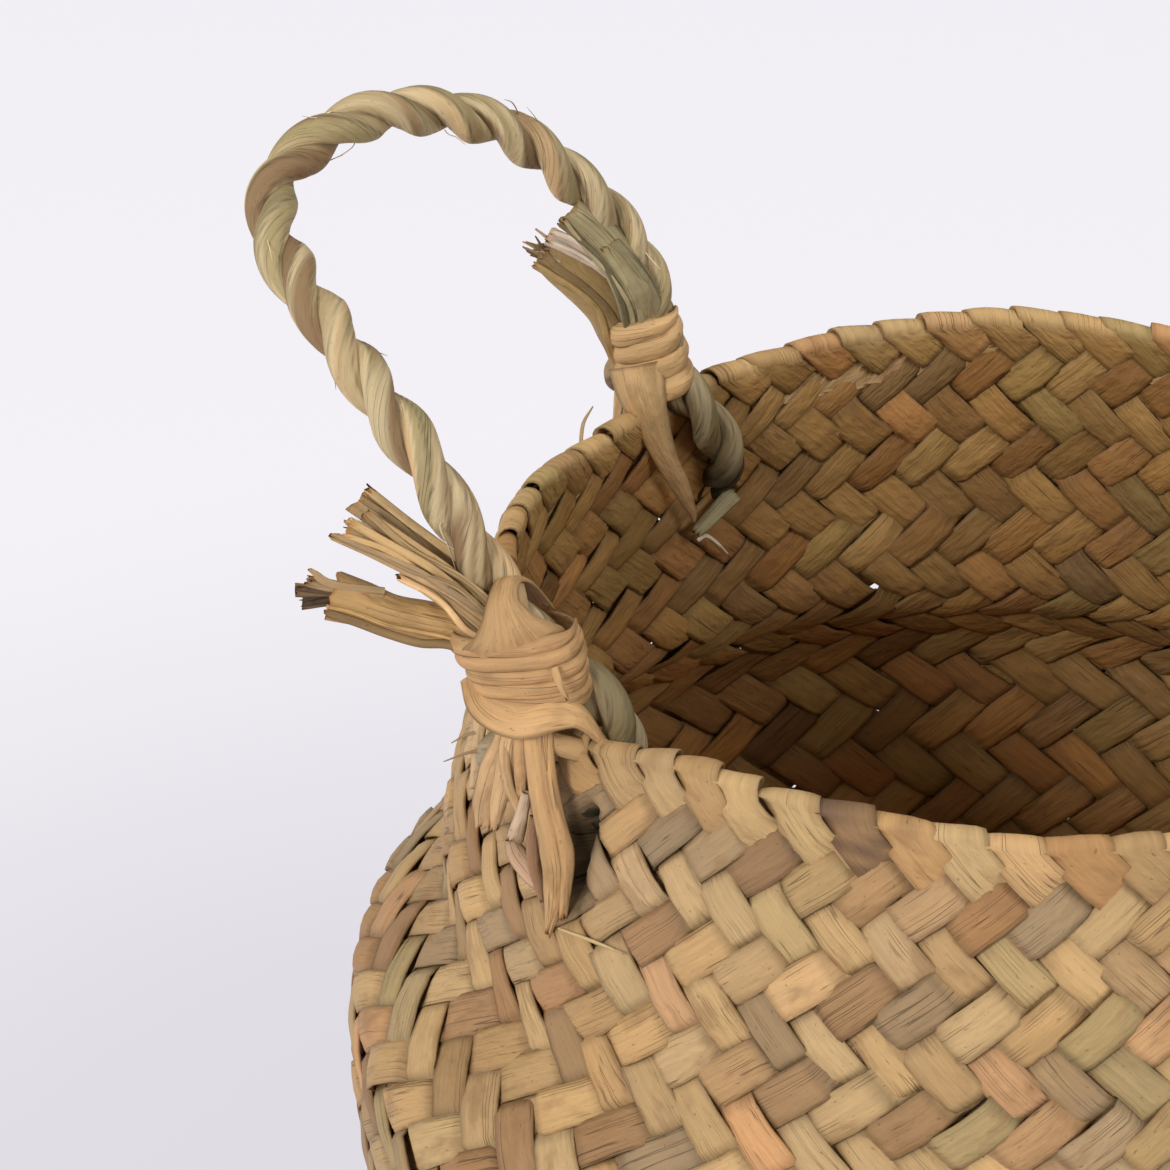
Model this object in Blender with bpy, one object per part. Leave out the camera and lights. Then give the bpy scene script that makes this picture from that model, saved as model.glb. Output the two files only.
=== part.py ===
"""Round seagrass belly basket: woven belly, woven neck with a folded rim, and two rope handles.

Metres, +Z up. The origin is on the floor, under the middle of the flat base. The handles are at
-X (left) and +X (right), and -Y is the front. The neck slides down into the belly, which stands
for folding the top in. Each handle swings about the line through its two lashed feet.
"""

import math

import bmesh
import bpy
from mathutils import Vector

MM = 0.001

# Basket body: heights above the floor and outer radii
HEIGHT = 285.0 * MM
WIDEST_HEIGHT = 152.0 * MM
SHOULDER_RISE = 37.0 * MM
NECK_FOOT_RISE = 20.0 * MM
SEAM_HEIGHT = WIDEST_HEIGHT + SHOULDER_RISE
NECK_HEIGHT = SEAM_HEIGHT + NECK_FOOT_RISE
RIM_RADIUS = 120.0 * MM
NECK_RADIUS = 133.0 * MM
BASE_RADIUS = 100.0 * MM
WIDEST_RADIUS = 157.0 * MM
SHOULDER_DRAW = 8.0 * MM
SEAM_RADIUS = WIDEST_RADIUS - SHOULDER_DRAW
WALL = 4.0 * MM
BELLY_FULLNESS_SHARE = 0.75
BELLY_SPACING_SHARE = 1.6
BELLY_STEPS = 9
SHOULDER_STEPS = 3
ROUND_STEPS = 60
SHARP_EDGE = math.radians(40.0)

# Neck: its foot laps inside the top edge of the belly
SEAM_LAP = 4.0 * MM
SEAM_GAP = 0.5 * MM
FLARE_SHARES = ((0.0, 0.0), (0.30, 0.42), (0.65, 0.80), (1.0, 1.0))
NECK_STEPS = 3

# Folded rim: a band of turned strip ends over the top edge of the neck
FIT_GAP = 0.3 * MM
RIM_SKIN = 1.6 * MM
RIM_SKIRT = 8.5 * MM
RIM_ARC_STEPS = 6

# Rope
ROPE_RADIUS = 4.8 * MM
SQUEEZED_RADIUS = 4.2 * MM
ROPE_GAP = 0.4 * MM
HOLE_CLEARANCE = 1.0 * MM
HOLE_DROP = 16.5 * MM
HOLE_SIDES = 12
CUTTER_OVERRUN = 6.0 * MM

# Handles: the swing axis lies along the two feet, above the rim
AXIS_REACH = 99.0 * MM
AXIS_RISE = 7.0 * MM
FEET_SPAN = 145.0 * MM
LOOP_REACH = 70.0 * MM
LOOP_RISE = 82.0 * MM
LOOP_SHARES = (
    (-0.952, 0.386, 0.549),
    (-0.717, 0.629, 0.707),
    (-0.359, 0.900, 0.841),
    (-0.069, 1.000, 0.963),
    (0.276, 0.771, 1.000),
    (0.621, 0.443, 0.854),
    (0.855, 0.157, 0.561),
)
LOOP_STEPS = 6
LEG_START = 0.8 * MM
LEG_OVERRUN = 0.6 * MM

# Palm strip wound round each foot
WIND_START = 2.5 * MM
STRIP_WIDTH = 4.0 * MM
STRIP_THICKNESS = 1.2 * MM
STRIP_PITCH = 4.7 * MM
POINTS_PER_TURN = 24
LONG_WIND_TURNS = 4
SHORT_WIND_TURNS = 3
LONG_FOOT_LEAN = math.radians(36.0)
SHORT_FOOT_LEAN = math.radians(5.0)

# Loose rope ends
LONG_TAIL_REACH = 29.0 * MM
LONG_TAIL_RISE = 25.0 * MM
SHORT_TAIL_REACH = 22.0 * MM
SHORT_TAIL_RISE = 16.0 * MM
TAIL_STEPS = 7
TAIL_RADIUS_SHARES = (1.0, 0.96, 0.88, 0.80, 0.76, 0.80, 0.88)
PLY_RADIUS = 3.4 * MM
PLY_GAP = 0.8 * MM
PLY_HEIGHT = 12.0 * MM
PLY_REACH = 38.0 * MM
PLY_RISE = 15.0 * MM
PLY_RADIUS_SHARES = (0.90, 1.0, 0.96, 0.86, 0.80, 0.84, 1.0)

# Rope turn round the rim, and how it leaves the foot
TURN_END_GAP = 0.7 * MM
TURN_LEAD_SHARE = 0.9
TURN_RADIUS_SHARES = (0.94, 0.84, 0.84, 0.90)
TURN_EASE_SHARE = 1.5
TURN_BEND_STEPS = 8
TURN_TOP_STEPS = 6

# Loose ends of the palm strip
TIE_THICKNESS = 1.2 * MM
TIE_GAP = 0.4 * MM
LONG_TIE_WIDTH = 6.0 * MM
LONG_TIE_TOP = 2.5 * MM
LONG_TIE_STANDOFF = 2.2 * MM
LONG_TIE_LENGTH = 41.0 * MM
STRAND_WIDTH = 8.0 * MM
STRAND_SIDE = 9.6 * MM
STRAND_TOP = 2.0 * MM
STRAND_LENGTH = 24.0 * MM
HANGING_TAPER_SHARE = 0.7
INNER_TIE_WIDTH = 6.4 * MM
INNER_TIE_SIDE = 12.4 * MM
INNER_TIE_RISE = 5.0 * MM
INNER_TIE_DROP = 33.0 * MM
INNER_TAPER_SHARE = 0.45
TIE_STEPS = 6

# Sizes that follow from the ones above
ROLL = WALL / 2 + FIT_GAP + RIM_SKIN
ROLL_CENTRE = (RIM_RADIUS - ROLL, HEIGHT - ROLL)
NECK_SLANT = math.atan2(NECK_RADIUS - WALL / 2 - ROLL_CENTRE[0], ROLL_CENTRE[1] - NECK_HEIGHT)
AXIS_HEIGHT = HEIGHT + AXIS_RISE
FOOT_ANGLE = math.atan2(FEET_SPAN / 2, AXIS_REACH)
LEG_OFFSET = ROPE_RADIUS + FIT_GAP
WIND_RADIUS = LEG_OFFSET + ROPE_RADIUS + FIT_GAP + STRIP_THICKNESS / 2
TURN_RADIUS = ROLL + ROPE_GAP + SQUEEZED_RADIUS
HOLE_RADIUS = SQUEEZED_RADIUS + HOLE_CLEARANCE

MATERIALS = {
    "seagrass": ((0.50, 0.36, 0.20, 1.0), 0.70),
    "rim_strip": ((0.56, 0.42, 0.25, 1.0), 0.65),
    "rope": ((0.42, 0.33, 0.19, 1.0), 0.75),
    "palm_strip": ((0.66, 0.46, 0.27, 1.0), 0.60),
}


def clear_scene():
    for obj in list(bpy.data.objects):
        bpy.data.objects.remove(obj, do_unlink=True)


def material(name):
    found = bpy.data.materials.get(name)
    if found:
        return found
    colour, roughness = MATERIALS[name]
    made = bpy.data.materials.new(name)
    made.use_nodes = True
    shader = made.node_tree.nodes["Principled BSDF"]
    shader.inputs["Base Color"].default_value = colour
    shader.inputs["Roughness"].default_value = roughness
    shader.inputs["Metallic"].default_value = 0.0
    made.diffuse_color = colour
    return made


def add_object(name, data, parent=None):
    obj = bpy.data.objects.new(name, data)
    bpy.context.scene.collection.objects.link(obj)
    obj.parent = parent
    return obj


def empty(name, location=(0.0, 0.0, 0.0), turn=0.0, parent=None):
    obj = add_object(name, None, parent)
    obj.location = location
    obj.rotation_euler = (0.0, 0.0, turn)
    return obj


def mesh_from(name, points, faces, finish):
    """A closed mesh with its faces pointing out."""
    mesh = bpy.data.meshes.new(name)
    form = bmesh.new()
    corners = [form.verts.new(point) for point in points]
    for face in faces:
        form.faces.new([corners[index] for index in face])
    bmesh.ops.recalc_face_normals(form, faces=form.faces)
    form.to_mesh(mesh)
    form.free()
    mesh.shade_smooth()
    mesh.set_sharp_from_angle(angle=SHARP_EDGE)
    mesh.materials.append(material(finish))
    return mesh


def revolve(name, outline, finish, closed=False):
    """Turns an outline of (radius, height) about Z. An open outline starts and ends on the axis."""
    points = []
    rings = []
    for radius, height in outline:
        if radius == 0:
            rings.append([len(points)] * ROUND_STEPS)
            points.append((0.0, 0.0, height))
            continue
        rings.append([len(points) + step for step in range(ROUND_STEPS)])
        for step in range(ROUND_STEPS):
            angle = math.tau * step / ROUND_STEPS
            points.append((radius * math.cos(angle), radius * math.sin(angle), height))
    pairs = list(zip(rings, rings[1:]))
    if closed:
        pairs.append((rings[-1], rings[0]))
    faces = []
    for lower, upper in pairs:
        for step in range(ROUND_STEPS):
            after = (step + 1) % ROUND_STEPS
            face = [lower[step], lower[after], upper[after], upper[step]]
            faces.append(list(dict.fromkeys(face)))
    return mesh_from(name, points, faces, finish)


def offset_line(line, distance):
    """Moves a line of (radius, height) points sideways, to the left of its direction."""
    moved = []
    for index, (radius, height) in enumerate(line):
        normals = []
        for first, second in ((index - 1, index), (index, index + 1)):
            if first < 0 or second >= len(line):
                continue
            run = Vector(line[second]) - Vector(line[first])
            normals.append(Vector((-run.y, run.x)).normalized())
        middle = sum(normals, Vector((0.0, 0.0))).normalized()
        shift = middle * (distance / middle.dot(normals[0]))
        moved.append((max(radius + shift.x, 0.0), height + shift.y))
    return moved


def belly_radius(height):
    """Outer radius of the belly at a height above the floor."""
    if height <= WIDEST_HEIGHT:
        share = 1 - (1 - height / WIDEST_HEIGHT) ** 2
        return BASE_RADIUS + (WIDEST_RADIUS - BASE_RADIUS) * share ** BELLY_FULLNESS_SHARE
    share = (height - WIDEST_HEIGHT) / (SEAM_HEIGHT - WIDEST_HEIGHT)
    return WIDEST_RADIUS - (WIDEST_RADIUS - SEAM_RADIUS) * share ** 2


def belly_lines():
    """Outer and inner lines of the belly, each from the axis up to the top edge."""
    heights = [WIDEST_HEIGHT * (step / BELLY_STEPS) ** BELLY_SPACING_SHARE for step in range(BELLY_STEPS + 1)]
    rise = SEAM_HEIGHT - WIDEST_HEIGHT
    heights += [WIDEST_HEIGHT + rise * step / SHOULDER_STEPS for step in range(1, SHOULDER_STEPS + 1)]
    outer = [(0.0, 0.0)] + [(belly_radius(height), height) for height in heights]
    return outer, offset_line(outer, WALL)


def neck_flat(offset, drop):
    """(radius, height) at an offset from the neck wall's middle and a drop below the rim roll's centre."""
    radius = ROLL_CENTRE[0] + offset * math.cos(NECK_SLANT) + drop * math.sin(NECK_SLANT)
    height = ROLL_CENTRE[1] + offset * math.sin(NECK_SLANT) - drop * math.cos(NECK_SLANT)
    return radius, height


def ways(angle):
    """Unit vectors out from the basket's axis and along the rim, at an angle round the basket."""
    return Vector((math.cos(angle), math.sin(angle), 0.0)), Vector((-math.sin(angle), math.cos(angle), 0.0))


def neck_point(angle, offset, drop, side=0.0):
    """The same place in space, at an angle round the basket and a straight step along the rim."""
    radius, height = neck_flat(offset, drop)
    out, along = ways(angle)
    return out * radius + along * side + Vector((0.0, 0.0, height))


def neck_coordinates(angle, point):
    """The offset, drop and side step of a place near the neck: the reverse of neck_point."""
    out, along = ways(angle)
    radius = point.dot(out) - ROLL_CENTRE[0]
    height = point.z - ROLL_CENTRE[1]
    offset = radius * math.cos(NECK_SLANT) + height * math.sin(NECK_SLANT)
    drop = radius * math.sin(NECK_SLANT) - height * math.cos(NECK_SLANT)
    return offset, drop, point.dot(along)


def build_belly():
    outer, inner = belly_lines()
    add_object("woven_belly", revolve("woven_belly", outer + inner[::-1], "seagrass"))


def collar_outline():
    """Closed outline of the neck wall: up the outside, down the inside."""
    foot_radius = belly_lines()[1][-1][0] - SEAM_GAP
    foot = [(foot_radius, SEAM_HEIGHT - SEAM_LAP)]
    flare = []
    for height_share, radius_share in FLARE_SHARES:
        radius = foot_radius + (NECK_RADIUS - foot_radius) * radius_share
        flare.append((radius, SEAM_HEIGHT + (NECK_HEIGHT - SEAM_HEIGHT) * height_share))
    top = neck_flat(WALL / 2, RIM_SKIN + FIT_GAP * 2 - ROLL)
    neck = []
    for step in range(1, NECK_STEPS + 1):
        neck.append(tuple(Vector(flare[-1]).lerp(Vector(top), step / NECK_STEPS)))
    outer = foot + flare + neck
    return outer + offset_line(outer, WALL)[::-1]


def foot_angles():
    """Angles round the basket of the four lashed feet."""
    return [turn + sign * FOOT_ANGLE for turn in (0.0, math.pi) for sign in (-1, 1)]


def build_collar(carrier):
    collar = add_object("woven_collar", revolve("woven_collar", collar_outline(), "seagrass", True), carrier)
    for number, angle in enumerate(foot_angles(), 1):
        cutter_mesh = bpy.data.meshes.new(f"rope_hole_cutter_{number}")
        form = bmesh.new()
        bmesh.ops.create_cone(
            form,
            cap_ends=True,
            segments=HOLE_SIDES,
            radius1=HOLE_RADIUS,
            radius2=HOLE_RADIUS,
            depth=WALL + CUTTER_OVERRUN * 2,
        )
        form.to_mesh(cutter_mesh)
        form.free()
        cutter = add_object(f"rope_hole_cutter_{number}", cutter_mesh, carrier)
        cutter.location = neck_point(angle, 0.0, HOLE_DROP)
        cutter.rotation_euler = (0.0, math.pi / 2 - NECK_SLANT, angle)
        cutter.hide_render = True
        cutter.display_type = "WIRE"
        cut = collar.modifiers.new(f"rope_hole_{number}", "BOOLEAN")
        cut.operation = "DIFFERENCE"
        cut.object = cutter


def build_rim(carrier):
    section = [(ROLL, RIM_SKIRT)]
    for step in range(RIM_ARC_STEPS + 1):
        angle = math.pi * step / RIM_ARC_STEPS
        section.append((ROLL * math.cos(angle), -ROLL * math.sin(angle)))
    channel = WALL / 2 + FIT_GAP
    ceiling = RIM_SKIN + FIT_GAP - ROLL
    section += [(-ROLL, RIM_SKIRT), (-channel, RIM_SKIRT)]
    section += [(-channel, ceiling), (channel, ceiling), (channel, RIM_SKIRT)]
    outline = [neck_flat(offset, drop) for offset, drop in section]
    add_object("folded_rim", revolve("folded_rim", outline, "rim_strip", True), carrier)


def tube(name, points, radius, finish, shares=None):
    """Curve data of a round tube through the points, closed at both ends."""
    curve = bpy.data.curves.new(name, "CURVE")
    curve.dimensions = "3D"
    curve.bevel_depth = radius
    curve.bevel_resolution = 2
    curve.use_fill_caps = True
    spline = curve.splines.new("POLY")
    spline.points.add(len(points) - 1)
    for index, point in enumerate(points):
        spline.points[index].co = (*point, 1.0)
        spline.points[index].radius = shares[index] if shares else 1.0
    curve.materials.append(material(finish))
    return curve


def ribbon(name, stations, finish):
    """Mesh of a flat strip. A station is (centre, across, outward), both half as long as the strip's size."""
    points = []
    faces = []
    for centre, across, outward in stations:
        for across_sign, outward_sign in ((-1, -1), (1, -1), (1, 1), (-1, 1)):
            points.append(centre + across * across_sign + outward * outward_sign)
    for index in range(len(stations) - 1):
        start = index * 4
        for corner in range(4):
            after = (corner + 1) % 4
            faces.append([start + corner, start + after, start + 4 + after, start + 4 + corner])
    last = len(points) - 4
    faces += [[0, 1, 2, 3], [last, last + 1, last + 2, last + 3]]
    return mesh_from(name, points, faces, finish)


def bezier(start, first, second, end, steps):
    """Points along a cubic curve, without its start."""
    points = []
    for step in range(1, steps + 1):
        share = step / steps
        rest = 1 - share
        point = start * rest ** 3 + first * (3 * rest ** 2 * share)
        points.append(point + second * (3 * rest * share ** 2) + end * share ** 3)
    return points


def smooth_route(points, start_way, end_way, steps):
    """A curve through the points that leaves and arrives along the given ways."""
    lead = (points[1] - points[0]).length
    tail = (points[-1] - points[-2]).length
    padded = [points[0] - start_way * lead] + points + [points[-1] + end_way * tail]
    route = [points[0]]
    for index in range(1, len(padded) - 2):
        before, start, end, after = padded[index - 1:index + 3]
        first = start + (end - before) / 6
        second = end - (after - start) / 6
        route += bezier(start, first, second, end, steps)
    return route


class Foot:
    """One lashed end of a left handle, in the handle's frame: origin on the swing axis, -X outward."""

    def __init__(self, sign, lean, turns):
        self.base = Vector((0.0, sign * FEET_SPAN / 2, 0.0))
        self.up = Vector((-math.sin(lean), 0.0, math.cos(lean)))
        self.out = Vector((-math.cos(lean), 0.0, -math.sin(lean)))
        self.turns = turns
        self.wind_top = WIND_START + STRIP_PITCH * turns + STRIP_WIDTH
        self.angle = math.pi - sign * FOOT_ANGLE

    def at(self, height, offset=0.0):
        return self.base + self.up * height + self.out * offset


def basket_place(point):
    """A place in the left handle's frame, in the basket's frame."""
    return point + Vector((-AXIS_REACH, 0.0, AXIS_HEIGHT))


def winding_mesh(name, foot):
    """One palm strip wound round the foot, with the least gap between its turns printed."""
    side = foot.up.cross(foot.out)
    stations = []
    count = foot.turns * POINTS_PER_TURN
    for step in range(count + 1):
        angle = math.tau * step / POINTS_PER_TURN
        radial = foot.out * math.cos(angle) + side * math.sin(angle)
        height = WIND_START + STRIP_WIDTH / 2 + STRIP_PITCH * step / POINTS_PER_TURN
        centre = foot.at(height) + radial * WIND_RADIUS
        stations.append((centre, foot.up * (STRIP_WIDTH / 2), radial * (STRIP_THICKNESS / 2)))
    edges = [(centre - across, centre + across) for centre, across, outward in stations]
    least = min(
        (edges[later][0] - edges[step][1]).length
        for step in range(count + 1)
        for later in range(step + POINTS_PER_TURN // 2, count + 1)
    )
    print(f"{name}: least gap between turns {least / MM:.2f} mm")
    return ribbon(name, stations, "palm_strip")


def loop_points():
    """Points of the handle's arch between its two feet, in the handle's frame."""
    return [
        Vector((-out * LOOP_REACH, along * FEET_SPAN / 2, rise * LOOP_RISE))
        for along, out, rise in LOOP_SHARES
    ]


def handle_rope(name, front, back):
    legs = []
    for foot in (front, back):
        legs.append((foot.at(LEG_START, -LEG_OFFSET), foot.at(foot.wind_top + LEG_OVERRUN, -LEG_OFFSET)))
    knots = [legs[0][1]] + loop_points() + [legs[1][1]]
    route = smooth_route(knots, front.up, -back.up, LOOP_STEPS)
    return tube(name, [legs[0][0]] + route + [legs[1][0]], ROPE_RADIUS, "rope")


def rope_end(name, foot, reach, rise):
    """The returned end of the rope: up through the winding, then bent outward."""
    top = foot.at(foot.wind_top + LEG_OVERRUN, LEG_OFFSET)
    tip = top + Vector((-reach, 0.0, rise))
    bend = (tip - top).length / 3
    way = (tip - top).normalized()
    tail = bezier(top, top + foot.up * bend, tip - way * bend, tip, TAIL_STEPS)
    shares = [1.0, 1.0] + list(TAIL_RADIUS_SHARES)
    return tube(name, [foot.at(LEG_START, LEG_OFFSET), top] + tail, ROPE_RADIUS, "rope", shares)


def split_ply(name, foot):
    """A ply of the untwisted end, which leaves the winding sideways."""
    start = foot.at(PLY_HEIGHT, WIND_RADIUS + STRIP_THICKNESS / 2 + PLY_GAP)
    tip = start + Vector((-PLY_REACH, 0.0, PLY_RISE))
    bend = (tip - start).length / 3
    way = (tip - start).normalized()
    points = [start] + bezier(start, start + foot.out * bend, tip - way * bend, tip, TAIL_STEPS - 1)
    return tube(name, points, PLY_RADIUS, "rope", PLY_RADIUS_SHARES)


def turn_leg(foot, sign):
    """Points from the foot's end of a leg, round the rim roll, to the neck wall's side. Sign -1 is inside."""
    start = basket_place(foot.at(LEG_START - TURN_END_GAP, sign * LEG_OFFSET))
    offset, drop, side = neck_coordinates(foot.angle, start)
    lead = start - foot.up * (math.hypot(offset, drop) - TURN_RADIUS) * TURN_LEAD_SHARE
    offset, drop, side = neck_coordinates(foot.angle, lead)
    reach = math.hypot(offset, drop)
    bend = math.atan2(-drop, offset)
    last = math.pi if sign < 0 else 0.0
    points = [start, lead]
    for step in range(1, TURN_TOP_STEPS + 1):
        share = step / TURN_TOP_STEPS
        fade = (1 - share) ** 2
        radius = TURN_RADIUS + (reach - TURN_RADIUS) * fade
        angle = bend + (last - bend) * share ** TURN_EASE_SHARE
        points.append(neck_point(foot.angle, radius * math.cos(angle), -radius * math.sin(angle), side * fade))
    return points


def rope_turn(name, foot):
    """The rope's turn over the rim, down the inside, out through the wall and up the outside."""
    points = turn_leg(foot, -1)
    for step in range(TURN_BEND_STEPS + 1):
        bend = math.pi * step / TURN_BEND_STEPS
        offset = -TURN_RADIUS * math.cos(bend)
        drop = HOLE_DROP - TURN_RADIUS * (1 - math.sin(bend))
        points.append(neck_point(foot.angle, offset, drop))
    points += turn_leg(foot, 1)[::-1]
    even = len(points) - len(TURN_RADIUS_SHARES) * 2
    shares = list(TURN_RADIUS_SHARES) + [1.0] * even + list(TURN_RADIUS_SHARES[::-1])
    return tube(name, points, SQUEEZED_RADIUS, "rope", shares)


def strip_on_neck(name, angle, path, side, width, taper_share):
    """A loose strip end that follows a path of (offset, drop) on the neck wall, a side step along the rim."""
    angle += side / ROLL_CENTRE[0]
    along = ways(angle)[1]
    centres = [neck_point(angle, offset, drop) for offset, drop in path]
    stations = []
    for index, centre in enumerate(centres):
        before = centres[max(index - 1, 0)]
        after = centres[min(index + 1, len(centres) - 1)]
        outward = along.cross((after - before).normalized()).normalized()
        share = index / (len(centres) - 1)
        half = width / 2 * (1 - (1 - taper_share) * share)
        stations.append((centre, along * half, outward * (TIE_THICKNESS / 2)))
    return ribbon(name, stations, "palm_strip")


def hanging_tie(name, angle, side, width, top, length, top_offset):
    """A strip end that hangs down outside, from clear of the rope to close on the wall."""
    rest = WALL / 2 + TIE_GAP + TIE_THICKNESS / 2
    path = []
    for step in range(TIE_STEPS + 1):
        share = step / TIE_STEPS
        offset = rest + (top_offset - rest) * (1 - share ** 3)
        path.append((offset, length * share - top))
    return strip_on_neck(name, angle, path, side, width, HANGING_TAPER_SHARE)


def inner_tie(name, angle, side):
    """A strip end that goes over the rim and tapers down the inside."""
    over = ROLL + TIE_GAP + TIE_THICKNESS / 2
    rest = WALL / 2 + TIE_GAP + TIE_THICKNESS / 2
    path = []
    for step in range(TIE_STEPS + 1):
        share = step / TIE_STEPS
        bend = math.pi / 3 + math.pi * 2 / 3 * share
        radius = over + INNER_TIE_RISE * (1 - share) ** 2
        path.append((radius * math.cos(bend), -radius * math.sin(bend)))
    path.append((-over, RIM_SKIRT))
    for step in range(1, TIE_STEPS // 2 + 1):
        share = step / (TIE_STEPS // 2)
        path.append((-over + (over - rest) * share, RIM_SKIRT + (INNER_TIE_DROP - RIM_SKIRT) * share))
    return strip_on_neck(name, angle, path, side, INNER_TIE_WIDTH, INNER_TAPER_SHARE)


def handle_parts():
    """Data of every piece of a left handle: those that swing with it, and those that stay on the neck."""
    front = Foot(-1, LONG_FOOT_LEAN, LONG_WIND_TURNS)
    back = Foot(1, SHORT_FOOT_LEAN, SHORT_WIND_TURNS)
    clear = TURN_RADIUS + SQUEEZED_RADIUS + LONG_TIE_STANDOFF + TIE_THICKNESS / 2
    swinging = {
        "handle_rope": handle_rope("handle_rope", front, back),
        "long_binding": winding_mesh("long_binding", front),
        "short_binding": winding_mesh("short_binding", back),
        "long_rope_end": rope_end("long_rope_end", front, LONG_TAIL_REACH, LONG_TAIL_RISE),
        "short_rope_end": rope_end("short_rope_end", back, SHORT_TAIL_REACH, SHORT_TAIL_RISE),
        "split_ply": split_ply("split_ply", front),
    }
    fixed = {
        "long_rope_turn": rope_turn("long_rope_turn", front),
        "short_rope_turn": rope_turn("short_rope_turn", back),
        "outer_tie": hanging_tie(
            "outer_tie", front.angle, 0.0, LONG_TIE_WIDTH, LONG_TIE_TOP, LONG_TIE_LENGTH, clear
        ),
        "tie_strands": hanging_tie(
            "tie_strands", front.angle, -STRAND_SIDE, STRAND_WIDTH, STRAND_TOP, STRAND_LENGTH, TURN_RADIUS
        ),
        "inner_tie": inner_tie("inner_tie", back.angle, INNER_TIE_SIDE),
    }
    return swinging, fixed


def build_handles(carrier):
    swinging, fixed = handle_parts()
    for side, turn, sign in (("left", 0.0, -1), ("right", math.pi, 1)):
        axis = empty(f"{side}_handle_axis", (sign * AXIS_REACH, 0.0, AXIS_HEIGHT), turn, carrier)
        lashing = empty(f"{side}_lashing", turn=turn, parent=carrier)
        for group, parent in ((swinging, axis), (fixed, lashing)):
            for name, data in group.items():
                add_object(f"{side}_{name}", data, parent)


def main():
    clear_scene()
    carrier = empty("collar_carrier")
    build_belly()
    build_collar(carrier)
    build_rim(carrier)
    build_handles(carrier)
    bpy.context.view_layer.update()


main()
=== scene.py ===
"""Looks of the round seagrass belly basket: plaited body, folded rim and two lashed rope handles.

Lengths are millimetres unless a name says otherwise, and points turn into metres when a piece is made.
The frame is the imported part's: +Z up, origin on the floor under the middle of the base, handles at -X
and +X, front at -Y. Angles round the basket start at +X and rise towards +Y.
"""

import math

import bpy
import numpy as np
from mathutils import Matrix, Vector


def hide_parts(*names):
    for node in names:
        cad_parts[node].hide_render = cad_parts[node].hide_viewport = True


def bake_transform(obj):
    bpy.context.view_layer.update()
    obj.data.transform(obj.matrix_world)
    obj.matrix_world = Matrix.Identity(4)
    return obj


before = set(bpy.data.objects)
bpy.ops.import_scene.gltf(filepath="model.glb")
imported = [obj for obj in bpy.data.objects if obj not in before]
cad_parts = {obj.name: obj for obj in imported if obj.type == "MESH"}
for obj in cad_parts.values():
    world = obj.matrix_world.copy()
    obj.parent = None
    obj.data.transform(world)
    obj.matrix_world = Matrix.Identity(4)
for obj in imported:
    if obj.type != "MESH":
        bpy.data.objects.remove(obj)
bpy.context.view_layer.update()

MM = 0.001

# Plaited body: middle line of the wall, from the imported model's sizes
FLOOR_GAP = 0.15
WALL = 4.0
BASE_RADIUS = 100.0
WIDEST_RADIUS = 157.0
WIDEST_HEIGHT = 152.0
BELLY_FULLNESS_SHARE = 0.75
BELLY_STEPS = 60
BELLY_STEP_POWER = 1.7
SHOULDER_STEPS = 8
SHOULDER_LINE = (
    (156.7, 160), (155.4, 170), (152.4, 180), (147.2, 188), (140.6, 196), (135.4, 203), (132.6, 210),
    (131, 220), (129, 232), (126, 246), (122.4, 262), (119.6, 276), (118.3, 282.6),
)

# Plait: 64 strips rise each way, and each row passes over two and under two
STRIPS_EACH_WAY = 64
BASE_ROWS = 16
STRIP_WIDTH = 9.4
STRIP_WIDTHS = ((100.0, 118.0, 157.0), (7.6, 8.2, 9.8))
STRIP_THICKNESS = 0.9
RELIEF = 1.2
FLOAT_CROWN = 0.45
CROWN_REACH = 0.42
DIVE_SHARE = 0.22
STEPS_PER_CELL = 5
ACROSS_SHARES = (-1.0, -0.72, -0.26, 0.26, 0.72, 1.0)

# Unevenness of the strips, float by float, and how much they widen above the base to close the plait
TILT_SPREAD = 0.28
MOST_CURL = 0.75
SWELL_SPREAD = 0.16
SLIP_SPREAD = 0.045
SWAY = 0.05
WIDTH_SHARES = (0.94, 1.05)
WIDTH_WAVER_SHARE = 0.06
CLOSE_SHARE = 1.02
CLOSER_SHARE = 0.07
CLOSER_RADIUS = 148.0
CLOSER_REACH = 12.0
CLOSER_ROW = BASE_ROWS + 6

# Folded rim: one way's strips turn over the edge and tuck back in outside
FOLD_RADIUS = 1.9
FOLD_STEPS = 8
FOLD_SIZES = (0.9, 1.3)
FOLD_LEANS = (0.6, 1.0)
FOLD_CROWN = 0.25
FOLD_FLARE_SHARE = 0.16
TUCK_ROWS = 2.4
TUCK_STEPS = 17
TUCK_DEPTH = -0.1
TUCK_START_ROW = 1.15
TUCK_DIVE_ROWS = 0.45
TAIL_TAPER_SHARE = 0.15

# Camera fitted to the photograph
LENS_MM = 130.77
SENSOR_MM = 36.0
CAMERA_PLACE_M = (0.0, -0.82872843, 0.72009215)
CAMERA_TURN = (math.radians(90 - 28.2872), 0.0, math.radians(7.1162))

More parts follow.
